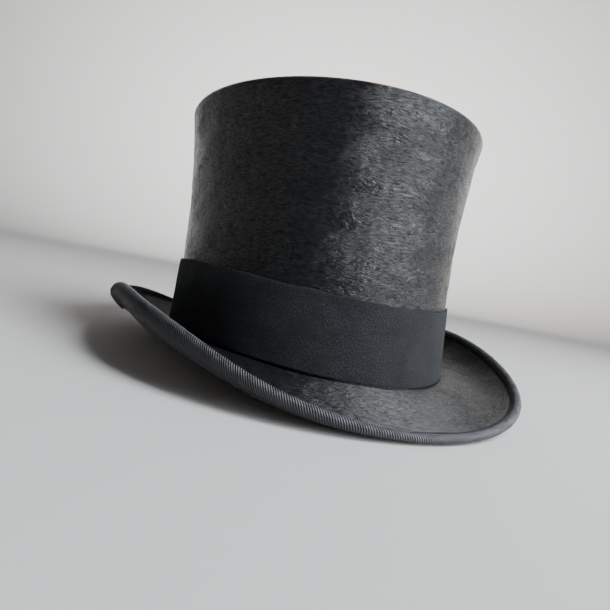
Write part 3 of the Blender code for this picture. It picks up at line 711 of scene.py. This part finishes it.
def add_lights():
    for name, azimuth, distance, height, aim, size, power, colour, spread in LIGHTS:
        add_light(name, towards(azimuth, distance, height), (0, 0, aim), size, power, colour, spread)
    add_light("wash_back", towards(146, 1.2, 2.2), towards(146, 4.0, 1.0), (2.4, 1.0), 118, (1, 1, 1), 135)
    world = bpy.data.worlds.new("studio")
    world.use_nodes = True
    background = world.node_tree.nodes["Background"]
    background.inputs["Color"].default_value = (0.72, 0.74, 0.78, 1)
    background.inputs["Strength"].default_value = 0.05
    bpy.context.scene.world = world


add_camera()
add_stage()
add_lights()

# --- Finishes ---

top_wear = (CROWN_HEIGHT - 1.7 * MM, CROWN_HEIGHT - 0.3 * MM)
side_pile = plush("side_plush_pile", worn=top_wear, faded=(0.366, 0.412, 0.424, 0.490))
tip_pile = plush("tip_plush_pile", worn=(-0.6 * MM, -2.0 * MM))
brim_pile = plush("brim_plush_pile", lay=0.18, shine=1.65, dull=(0.02, 0.05, 0.22, 0.27))
band_cloth = wool("band_wool_cloth", (0.0116, 0.0121, 0.0136), (0.0252, 0.0264, 0.0294))
cover_cloth = wool("under_brim_merino", (0.0085, 0.0085, 0.0090), (0.0150, 0.0150, 0.0160), 0.2)
ribbon_silk = grosgrain("grosgrain_silk")
gossamer = cotton("shellac_gossamer_muslin", (0.22, 0.12, 0.05), (0.36, 0.21, 0.09), stiff=0.6)
calico = cotton("calico_cotton", (0.50, 0.43, 0.31), (0.66, 0.59, 0.46))
roan = leather("sweatband_roan", (0.20, 0.095, 0.042), (0.34, 0.175, 0.085))
lining_silk = satin("lining_cream_satin", (0.56, 0.51, 0.42), (0.74, 0.70, 0.61))
bow_silk = satin("bow_black_satin", (0.012, 0.012, 0.014), (0.030, 0.030, 0.034))
black_thread = thread_finish("black_sewing_thread", (0.016, 0.016, 0.018))
buff_thread = thread_finish("buff_sewing_thread", (0.58, 0.47, 0.32))
reed_cane = cane("split_reed_cane")
welt_cloth = oilcloth("welt_oilcloth_glazed")

# These CAD nodes keep their shape, and are nearly all hidden between outside and lining.
for name, finish in (
    ("crown_side_shell", gossamer),
    ("crown_tip_shell", gossamer),
    ("tip_joint_strip", calico),
    ("brim_joint_strip", calico),
    ("sweatband_reed", reed_cane),
):
    shown = nodes[name].data
    shown.materials.clear()
    shown.materials.append(finish)

# --- Crown ---

PILE_THICKNESS = 0.5 * MM
PILE_FOOT = 0.75 * MM  # the side plush starts this far above the brim
RELIEF_FADE = 6 * MM
TIP_DENT = 0.5 * MM


def make_side_plush():
    # as fine as the export's limit on faces allows
    th = around(430, SIDE_SEAM)  # 430 columns round the crown, starting at the side seam
    arc = arc_length(np.append(th, SIDE_SEAM + TAU))
    low = join_height(th)[None] + PILE_FOOT
    z = low + (EDGE_START - low) * np.linspace(0, 1, 104)[:, None]
    u, v = np.broadcast_to(arc[None, :-1], z.shape), z
    relief = 0.16 * MM * ripple(u, v, 3, 0.030, 1.6) + 0.06 * MM * ripple(u, v, 4, 0.009, 2.2)
    for distance in (EDGE_START - z, arc[:-1], arc[-1] - arc[:-1]):
        relief = relief * dying(distance, RELIEF_FADE)
    turns = np.radians(np.linspace(0, 47, 9))[1:, None]
    points = np.concatenate([crown(th, -relief, z), crown_edge(th, 0.0, turns)])
    across = np.concatenate([np.append(z, z[:, :1], 1), EDGE_START + TOP_EDGE_RADIUS * turns + 0 * arc])
    piece = surface("side_plush_nap", points, arc, across)
    thicken(piece, PILE_THICKNESS)
    wearing(piece, side_pile, "silk_plush", "side_plush")


def make_tip_plush():
    """The tip is brushed in a spiral, so its nap runs round it."""
    th = around(360)
    closed = np.append(th, TAU)
    a, b = half_axes(EDGE_START)
    mean = (a + b) / 2
    turns = np.radians(np.linspace(49, 90, 9))[:, None]
    share = np.linspace(1, 0.001, 56)[1:, None]
    x, y = (a - TOP_EDGE_RADIUS) * share * np.cos(th), (b - TOP_EDGE_RADIUS) * share * np.sin(th)
    dent = -TIP_DENT * (1 - share**2) + 0.12 * MM * ripple(x, y, 12, 0.035)
    flat = np.stack([x, y, CROWN_HEIGHT + dent * dying(1 - share, 0.08)], -1)
    points = np.concatenate([crown_edge(th, 0.0, turns), flat])
    along = mean * np.append(np.ones(len(turns)), np.maximum(share, 0.12))[:, None] * closed
    across = np.concatenate([TOP_EDGE_RADIUS * (turns - math.pi / 2), (1 - share) * mean])
    piece = surface("tip_plush_nap", points, along, across)
    thicken(piece, PILE_THICKNESS)
    wearing(piece, tip_pile, "silk_plush", "tip_plush")


def make_tip_seam():
    """The close overcast stitches that join side and tip, sunk in the pile on the top edge."""
    th = around(300)
    below, join, above = np.radians((44, 48, 52))
    starts = crown_edge(th, 0.15 * MM, below)
    ends = crown_edge(th + 0.008, 0.15 * MM, above)
    lifts = crown_edge(th, -0.25 * MM, join) - crown_edge(th, 0.0, join)
    piece = rods("tip_seam_stitches", starts, ends, lifts, 0.16 * MM, sides=5, steps=4)
    wearing(piece, black_thread, "sewing_thread")


def make_side_seam():
    """The slanting stitches that close the side plush, from above the band to the top edge."""
    z = np.arange(BAND_TOP + 10 * MM, EDGE_START - 2 * MM, 2.4 * MM)
    piece = seam("side_seam_stitches", SIDE_SEAM, z, half=0.004, inset=0.05 * MM,
                 rise=0.8 * MM, lift=0.15 * MM, radius=0.14 * MM)
    wearing(piece, black_thread, "sewing_thread", "side_seam_thread")


make_side_plush()
make_tip_plush()
make_tip_seam()
make_side_seam()

# --- Brim ---

BRIM_PILE_HEIGHT, BRIM_PILE_THICKNESS = 1.2 * MM, 0.4 * MM  # the height is that of the pile's top
SHELL_HEIGHT, SHELL_THICKNESS, SHELL_REACH_IN = 0.5 * MM, 1.0 * MM, 2.1 * MM
COVER_HEIGHT, COVER_THICKNESS, COVER_REACH_IN = -1.10 * MM, 0.3 * MM, 2.8 * MM
COVER_STEP, COVER_STEP_START, COVER_STEP_END = 0.85 * MM, 9 * MM, 18 * MM
BRIM_MIDDLE = 20 * MM  # how far out the brim's UVs measure distance round it


def brim_grid(columns, rows, start, inner):
    """The brim's section, distance round it, and rows of distance from the crown, from inner to the rim."""
    th = around(columns, start)
    brim = Brim(th)
    halves = CROWN_HALF_WIDTH + BRIM_MIDDLE, CROWN_HALF_LENGTH + BRIM_MIDDLE
    arc = arc_length(np.append(th, start + TAU), *halves)
    across = inner + np.linspace(0, 1, rows)[:, None] * (brim.length - inner)
    return brim, arc, across


def brim_relief(arc, across, size, seed):
    u = np.broadcast_to(arc[:-1], across.shape)
    return size * ripple(u, across, seed, 0.022, 1.5) + 0.4 * size * ripple(u, across, seed + 1, 0.008, 2.0)


def brim_sheet(name, brim, arc, across, height, thickness, flip=False):
    piece = surface(name, brim.at(across, height), arc, np.append(across, across[:, :1], 1), flip=flip)
    thicken(piece, thickness)
    return piece


def make_brim_plush():
    brim, arc, across = brim_grid(520, 74, BACK, 0.3 * MM)
    relief = brim_relief(arc, across, 0.10 * MM, 21) * dying(brim.length - across, 8 * MM)
    height = BRIM_PILE_HEIGHT + relief
    piece = brim_sheet("brim_plush_nap", brim, arc, across, height, BRIM_PILE_THICKNESS, flip=True)
    wearing(piece, brim_pile, "silk_plush", "upper_brim_plush")


def make_brim_shell():
    brim, arc, across = brim_grid(200, 26, LEFT, -SHELL_REACH_IN)
    piece = brim_sheet("brim_shell_gossamer", brim, arc, across, SHELL_HEIGHT, SHELL_THICKNESS, flip=True)
    wearing(piece, gossamer, "shellac_gossamer", "brim_shell")


def make_under_cover():
    """Cloth under the brim, lower near the crown, where it covers the joint strip."""
    brim, arc, across = brim_grid(420, 60, BACK, -COVER_REACH_IN)
    step = COVER_STEP * (1 - dying(across - COVER_STEP_START, COVER_STEP_END - COVER_STEP_START))
    height = COVER_HEIGHT - step + brim_relief(arc, across, 0.07 * MM, 31)
    piece = brim_sheet("under_brim_merino_cover", brim, arc, across, height, COVER_THICKNESS)
    wearing(piece, cover_cloth, "merino_cover", "under_brim_cover")


RIBBON_TOP, RIBBON_UNDER = 5.0 * MM, 15.0 * MM  # how far the ribbon reaches in from the brim's edge
RIBBON_HEIGHT, RIBBON_INSIDE = 2.0 * MM, 1.5 * MM  # its two faces, measured from the brim's middle line
RIB_HEIGHT, RIB_WOBBLE, EDGE_WANDER = 0.20 * MM, 0.03 * MM, 0.25 * MM
COLUMNS_PER_RIB = 4
BINDING_STITCH_IN, BINDING_STITCH_HEIGHT = 0.9 * MM, -2.05 * MM
THREAD_RADIUS = 0.17 * MM


def ribbon_outside():
    """Reach past the brim's edge and height, from the edge on top, over the fold, to the edge underneath.

    Both edges are a little rounded.
    """
    spots = [(-RIBBON_TOP - 0.1 * MM, 1.50 * MM), (-RIBBON_TOP, 1.86 * MM)]
    spots.append((-RIBBON_TOP + 0.5 * MM, 1.97 * MM))
    spots += [(-RIBBON_TOP * (1 - k / 5), RIBBON_HEIGHT) for k in range(1, 5)]
    for turn in np.radians(np.arange(90, -79, -24)):
        spots.append((0.35 * MM + RIBBON_HEIGHT * math.cos(turn), RIBBON_HEIGHT * math.sin(turn)))
    spots += [(-RIBBON_UNDER * k / 8, -RIBBON_HEIGHT) for k in range(8)]
    spots += [(-RIBBON_UNDER + 0.2 * MM, -1.97 * MM), (-RIBBON_UNDER, -1.84 * MM)]
    return spots + [(-RIBBON_UNDER - 0.1 * MM, -1.52 * MM)]


def make_binding():
    """Grosgrain folded over the brim's edge. Ribs cross it on a slant, so its columns of points slant too."""
    fine = open_round(2000, BACK, 0.004)
    edge = Brim(fine)
    rim = np.stack([CROWN_HALF_WIDTH * np.cos(fine), CROWN_HALF_LENGTH * np.sin(fine), edge.v[-1]], -1)
    rim = rim + outward(fine) * edge.u[-1][:, None]
    run = np.concatenate([[0], np.cumsum(np.linalg.norm(np.diff(rim, axis=0), axis=1))])
    along = np.linspace(0, run[-1], int(run[-1] / RIB_PITCH) * COLUMNS_PER_RIB + 1)
    th = np.interp(along, run, fine)
    th_per_metre = np.gradient(th, along)
    rows, across, runs = [], [], []

    def ring(reach, height, girth):
        """One row of points, which starts further round the further it is across the ribbon."""
        brim = Brim(th + RIB_LEAN * girth * th_per_metre)
        rows.append(brim.at(brim.length + reach, height)[0])
        across.append(girth + 0 * along)
        runs.append(along + RIB_LEAN * girth)

    spots = ribbon_outside()
    girths = np.concatenate([[0], np.cumsum([math.dist(a, b) for a, b in zip(spots, spots[1:])])])
    wander = EDGE_WANDER * periodic(th, 41, (3, 16))
    rib = RIB_HEIGHT * np.cos(TAU * along / RIB_PITCH) + RIB_WOBBLE * periodic(th, 43, (60, 220), 12)
    still = range(7, 17)  # the spots round the fold, which don't wander with the ribbon's edges
    for k, (reach, height) in enumerate(spots):
        away = reach + (0 if k in still else wander)
        if reach > 0 and abs(height) < 1.9 * MM:
            ring(away + 0.9 * rib, height + rib * height / RIBBON_HEIGHT, girths[k])
        else:
            share = 1.0 if 1 < k < len(spots) - 2 else 0.4
            ring(away, height + math.copysign(share, height) * rib, girths[k])
    # Back along the ribbon's inside: reach, height and share of the girth.
    for reach, height, share in (
        (-RIBBON_UNDER + 1 * MM, -RIBBON_INSIDE, 0.95),
        (-RIBBON_UNDER / 2, -RIBBON_INSIDE, 0.60),
        (0.0, -RIBBON_INSIDE, 0.38),
        (1.7 * MM, -0.5 * MM, 0.33),
        (1.7 * MM, 0.5 * MM, 0.28),
        (0.0, RIBBON_INSIDE, 0.24),
        (-RIBBON_TOP + 1 * MM, RIBBON_INSIDE, 0.03),
    ):
        ring(reach, height, girths[-1] * share)
    uvs = runs + runs[:1], across + across[:1]
    piece = surface("brim_binding_grosgrain", rows, *uvs, closed=False, looped=True, flip=True)
    wearing(piece, ribbon_silk, "grosgrain_ribbon", "brim_binding")


def make_binding_stitches():
    th = open_round(260, BACK, 0.03)
    brim, ahead = Brim(th), Brim(th + 0.010)
    reach = -RIBBON_UNDER + BINDING_STITCH_IN
    starts = brim.at(brim.length + reach, BINDING_STITCH_HEIGHT)[0]
    ends = ahead.at(ahead.length + reach + 0.5 * MM, BINDING_STITCH_HEIGHT)[0]
    lifts = brim.at(brim.length + reach, BINDING_STITCH_HEIGHT - 0.2 * MM)[0] - starts
    piece = rods("binding_stitches", starts, ends, lifts, THREAD_RADIUS)
    wearing(piece, black_thread, "sewing_thread", "binding_thread")


make_brim_plush()
make_brim_shell()
make_under_cover()
make_binding()
make_binding_stitches()

# --- Mourning band ---

CLOTH_MIDDLE, CLOTH_HALF = 0.9 * MM, 0.55 * MM  # how far out the cloth's middle is, and half its thickness
BAND_INSIDE = 0.30 * MM
BAND_SWELL = 0.12 * MM


def band_top(th):
    return BAND_TOP + BAND_TOP_SADDLE * np.cos(th) ** 2 + BAND_TOP_BACK * np.sin(th)


def make_band():
    """A cloth strip with rounded edges, up its outside from its lower edge and back down its inside."""
    th = open_round(520, LEFT, 0.003)
    arc = arc_length(th)
    low, high = join_height(th) + BAND_BOTTOM, band_top(th) + 0.18 * MM * periodic(th, 51, (5, 40), 16)
    girth = high - low
    rows, across = [], []

    def ring(out, z, v):
        rows.append(crown(th, -out, z))
        across.append(v + 0 * th)

    def fold(z, turns, v):
        for turn in np.radians(turns):
            out, up = CLOTH_HALF * math.cos(turn), CLOTH_HALF * math.sin(turn)
            ring(CLOTH_MIDDLE + out, z + up, v + CLOTH_HALF * turn)

    fold(low + CLOTH_HALF, (-160, -125, -90, -60, -30), 0)
    for share in np.linspace(0, 1, 40):
        z = low + CLOTH_HALF + (girth - 2 * CLOTH_HALF) * share
        swell = math.sin(math.pi * share) ** 0.5
        relief = 0.10 * MM * ripple(arc, z, 52, 0.045, 2.0) + 0.05 * MM * ripple(arc, z, 53, 0.012, 1.3)
        ring(CLOTH_MIDDLE + CLOTH_HALF + (relief + BAND_SWELL) * swell, z, z - low)
    fold(high - CLOTH_HALF, (30, 60, 90, 125, 160), girth)
    for share in (0.9, 0.5, 0.1):
        ring(BAND_INSIDE, low + girth * share, girth * (2 - share))
    piece = surface("mourning_band_wool", rows, arc, across + across[:1], closed=False, looped=True)
    wearing(piece, band_cloth, "band_wool", "hat_band")


def make_band_fuzz():
    """Loose fibre ends along the band's top fold."""
    count = 1500
    th = rng.uniform(0, TAU, count)
    z = band_top(th) + rng.uniform(-0.5, 0.05, count) * MM
    inset = -rng.uniform(0.5, 1.4, count) * MM
    starts = crown(th, inset, z)
    long = rng.uniform(0.5, 1.3, count)[:, None] * MM
    round_it = np.stack([-np.sin(th), np.cos(th), 0 * th], -1)
    sideways = round_it * rng.normal(0, 0.8, count)[:, None]
    out = outward(th)
    way = out * rng.uniform(0.0, 0.7, count)[:, None] + sideways
    way = way + np.array([0, 0, 1.0]) * rng.uniform(0.2, 1, count)[:, None]
    ends = starts + long * way / np.linalg.norm(way, axis=1, keepdims=True)
    lifts = out * (rng.uniform(0.03, 0.25, count) * MM)[:, None]
    piece = rods("band_top_fuzz", starts, ends, lifts, 0.035 * MM, sides=3, steps=2)
    wearing(piece, band_cloth, "band_wool")


def make_band_join():
    z = np.arange(join_height(LEFT) + BAND_BOTTOM + 2 * MM, BAND_TOP + BAND_TOP_SADDLE - 2 * MM, 3.2 * MM)
    piece = seam("band_join_stitches", LEFT, z, half=0.010, inset=-1.62 * MM,
                 rise=1.0 * MM, lift=0.2 * MM, radius=0.2 * MM)
    wearing(piece, black_thread, "sewing_thread", "band_join_thread")


make_band()
make_band_fuzz()
make_band_join()

# --- Inside ---

LEATHER_INSET, LEATHER_THICKNESS = 4.48 * MM, 0.75 * MM
LEATHER_FACE = 4.5 * MM  # what the stitches and the bow sit on
LEATHER_STITCH_HEIGHT = 3 * MM
LINING_INSET, LINING_THICKNESS = 3.42 * MM, 0.25 * MM
GATHER_START = 0.45  # the share of the lining's height above which it is gathered
TIP_LINING_INSET = 5.6 * MM
PIPING_RADIUS, PIPING_TWIST = 0.8 * MM, 0.08 * MM
PIPING_INSET, PIPING_LIFT = 4.3 * MM, 0.4 * MM


def leather_top(th):
    return LEATHER_TOP + JOIN_SADDLE * 0.5 * np.cos(th) ** 2


def make_sweatband():
    """Leather that waves a little, with a crease just above the line of stitches."""
    th = open_round(420, BACK, 0.003)
    arc = arc_length(th)
    share = np.linspace(0, 1, 40)[:, None]
    low = join_height(th) + LEATHER_BOTTOM
    z = low + (leather_top(th) - low) * share
    wave = 0.12 * MM * ripple(arc, z, 61, 0.03, 0.6) * np.sin(math.pi * share)
    crease = 0.10 * MM * np.exp(-(((share - 0.16) / 0.02) ** 2))
    points = crown(th, LEATHER_INSET + wave - crease, z)
    piece = surface("sweatband_roan_leather", points, arc, z, closed=False, flip=True)
    thicken(piece, LEATHER_THICKNESS)
    wearing(piece, roan, "sweatband_leather", "sweatband")


def make_sweatband_stitches():
    """Running stitches low round the leather, and slanting ones up its join at the back."""
    th, step = open_round(230, BACK, 0.04), 0.016
    foot = LEATHER_BOTTOM + LEATHER_STITCH_HEIGHT
    starts = crown(th, LEATHER_FACE, join_height(th) + foot)
    ends = crown(th + step, LEATHER_FACE, join_height(th + step) + foot + 0.1 * MM)
    piece = rods("sweatband_stitches", starts, ends, -outward(th) * 0.22 * MM, THREAD_RADIUS)
    wearing(piece, buff_thread, "light_thread", "sweatband_thread")
    z = np.arange(BOW_HEIGHT + 5 * MM, LEATHER_TOP - 1.5 * MM, 1.5 * MM)
    piece = seam("sweatband_join_stitches", BACK, z, half=0.010, inset=LEATHER_FACE,
                 rise=0.9 * MM, lift=-0.2 * MM, radius=THREAD_RADIUS)
    wearing(piece, buff_thread, "light_thread", "sweatband_back_thread")


def make_welt():
    """Oilcloth that comes down behind the leather and turns up round the reed."""
    th = around(420)
    ups = np.array((10.0, 7.5, 5.0, 2.5, 1.0)) * MM
    turns = np.radians(np.arange(0, 181, 15))
    inset = REED_INSET - WELT_RADIUS * np.append(np.ones(len(ups)), np.cos(turns))
    rise = np.append(ups, REED_HEIGHT - WELT_RADIUS * np.sin(turns))
    across = ups[0] + np.append(-ups, WELT_RADIUS * turns)
    points = crown(th, inset[:, None], join_height(th) + rise[:, None])
    piece = surface("reed_welt_oilcloth", points, arc_length(np.append(th, TAU)), across[:, None], flip=True)
    thicken(piece, 0.3 * MM, 0.0)
    wearing(piece, welt_cloth, "welt_oilcloth", "reed_welt")


def make_side_lining():
    """Satin gathered a little at its upper edge, in soft upright folds."""
    th = around(720, BACK)
    arc = arc_length(np.append(th, BACK + TAU))
    share = np.linspace(0, 1, 44)[:, None]
    low = join_height(th) + LINING_BOTTOM
    z = low + (LINING_TOP - low) * share
    gather = np.maximum(0, share - GATHER_START) / (1 - GATHER_START)
    tuck = np.sin(math.pi * np.minimum(1, 0.5 + (1 - share) * 6)) ** 0.5
    fold = (0.10 + 0.75 * gather**1.5 * tuck) * MM * np.abs(periodic(th, 71, (38, 95), 10))
    wave = 0.125 * MM * (1 + ripple(arc[:-1], z, 72, 0.03, 0.4))
    points = crown(th, LINING_INSET + fold + wave, z)
    piece = surface("side_lining_satin", points, np.append(z, z[:, :1], 1), arc, flip=True)
    thicken(piece, LINING_THICKNESS)
    wearing(piece, lining_silk, "lining_satin", "side_lining")


def make_tip_lining():
    """Satin over a thin pad, which sags a little in the middle."""
    th = around(300)
    closed = np.append(th, TAU)
    a, b = (half - TIP_LINING_INSET for half in half_axes(LINING_TOP))
    share = np.linspace(1, 0.001, 46)[:, None]
    x, y = a * share * np.cos(th), b * share * np.sin(th)
    pad = 0.8 * MM * (1 - share**2) + 0.18 * MM * ripple(x, y, 81, 0.03)
    points = np.stack([x, y, TIP_LINING_HEIGHT - 0.15 * MM - pad], -1)
    uvs = a * share * np.cos(closed), b * share * np.sin(closed)
    piece = surface("tip_lining_satin", points, *uvs, flip=True)
    thicken(piece, LINING_THICKNESS)
    wearing(piece, lining_silk, "lining_satin", "tip_lining")


def make_piping():
    """A covered cord round the join of side and tip lining."""
    th = around(900)
    sides, strands, twists = 12, 3, 190
    turn = TAU * np.arange(sides)[:, None] / sides
    radius = PIPING_RADIUS - PIPING_TWIST * (1 - np.cos(strands * turn + twists * th))
    z = LINING_TOP + PIPING_RADIUS + PIPING_LIFT + radius * np.sin(turn)
    across = np.linspace(0, TAU * PIPING_RADIUS, sides + 1)[:, None]
    points = crown(th, PIPING_INSET - radius * np.cos(turn), z)
    piece = surface("lining_piping_cord", points, arc_length(np.append(th, TAU)), across, looped=True)
    wearing(piece, lining_silk, "lining_satin", "lining_piping")


BOW_WIDTH = 6.0 * MM
BOW_THICKNESS = 0.3 * MM
LOOP_START, LOOP_LENGTH, LOOP_HALF_DEPTH = 3.2 * MM, 15 * MM, 2.0 * MM
TAIL_LENGTH = 14 * MM
KNOT_HALF_WIDTH, KNOT_HALF_DEPTH, KNOT_HALF_HEIGHT = 2.4 * MM, 1.7 * MM, 3.4 * MM


def behind(s, depth, z):
    """Points on the leather at the back: s towards the wearer's left, depth off the leather."""
    inset = LEATHER_FACE + depth
    half_width, _ = half_axes(z)
    return crown(BACK - s / (half_width - inset), inset, z)


def make_bow_loop(name, side):
    h, turn = np.linspace(-0.5, 0.5, 13)[:, None], around(72)
    reach = (1 - np.cos(turn)) / 2
    swell = 1 + np.sin(turn) * np.sqrt(np.sin(turn / 2))
    pinch = 0.55 + 0.45 * reach**0.6
    crimp = 0.18 * MM * np.cos(h * 14) * (1 - reach) ** 2
    depth = 0.6 * MM + LOOP_HALF_DEPTH * swell + crimp
    points = behind(side * (LOOP_START + LOOP_LENGTH * reach), depth, BOW_HEIGHT + h * BOW_WIDTH * pinch)
    piece = surface(f"bow_loop_{name}_ribbon", points, np.linspace(0, 0.034, 73), h * BOW_WIDTH)
    thicken(piece, BOW_THICKNESS, 0.0)
    wearing(piece, bow_silk, "bow_ribbon", f"bow_loop_{name}")


def make_bow_tail(name, side):
    """A tail that widens away from the knot and ends in a notch."""
    t, h = np.linspace(0, 1, 25)[:, None], np.linspace(-0.5, 0.5, 11)
    notch = 0.14 * (1 - 2 * np.abs(h)) * np.maximum(0, (t - 0.7) / 0.3)
    wide = BOW_WIDTH * (0.55 + 0.45 * np.minimum(1, t * 2))
    s = side * (3.4 * MM + 2.6 * MM * t + h * wide * 0.9)
    depth = 0.55 * MM + 0.25 * MM * np.sin(5 * t + side) + 0.15 * MM * np.cos(9 * h) * (1 - t)
    points = behind(s, depth, BOW_HEIGHT - 3.2 * MM - TAIL_LENGTH * (t - notch))
    piece = surface(f"bow_tail_{name}_ribbon", points, t * TAIL_LENGTH, h * BOW_WIDTH, closed=False)
    thicken(piece, BOW_THICKNESS, 0.0)
    wearing(piece, bow_silk, "bow_ribbon", f"bow_tail_{name}")


def make_bow_knot():
    t, turn = np.linspace(-1, 1, 21)[:, None], around(48)
    squash = (1 - 0.10 * t * t) * (1 + 0.05 * np.cos(6 * turn))
    s, depth = KNOT_HALF_WIDTH * np.cos(turn) * squash, 2.2 * MM + KNOT_HALF_DEPTH * np.sin(turn) * squash
    z = BOW_HEIGHT + KNOT_HALF_HEIGHT * t
    piece = surface("bow_knot_ribbon", behind(s, depth, z), np.linspace(0, 0.013, 49), KNOT_HALF_HEIGHT * t)
    thicken(piece, 0.35 * MM)
    wearing(piece, bow_silk, "bow_ribbon", "bow_knot")


make_sweatband()
make_sweatband_stitches()
make_welt()
make_side_lining()
make_tip_lining()
make_piping()
for name, side in (("left", 1), ("right", -1)):
    make_bow_loop(name, side)
    make_bow_tail(name, side)
make_bow_knot()
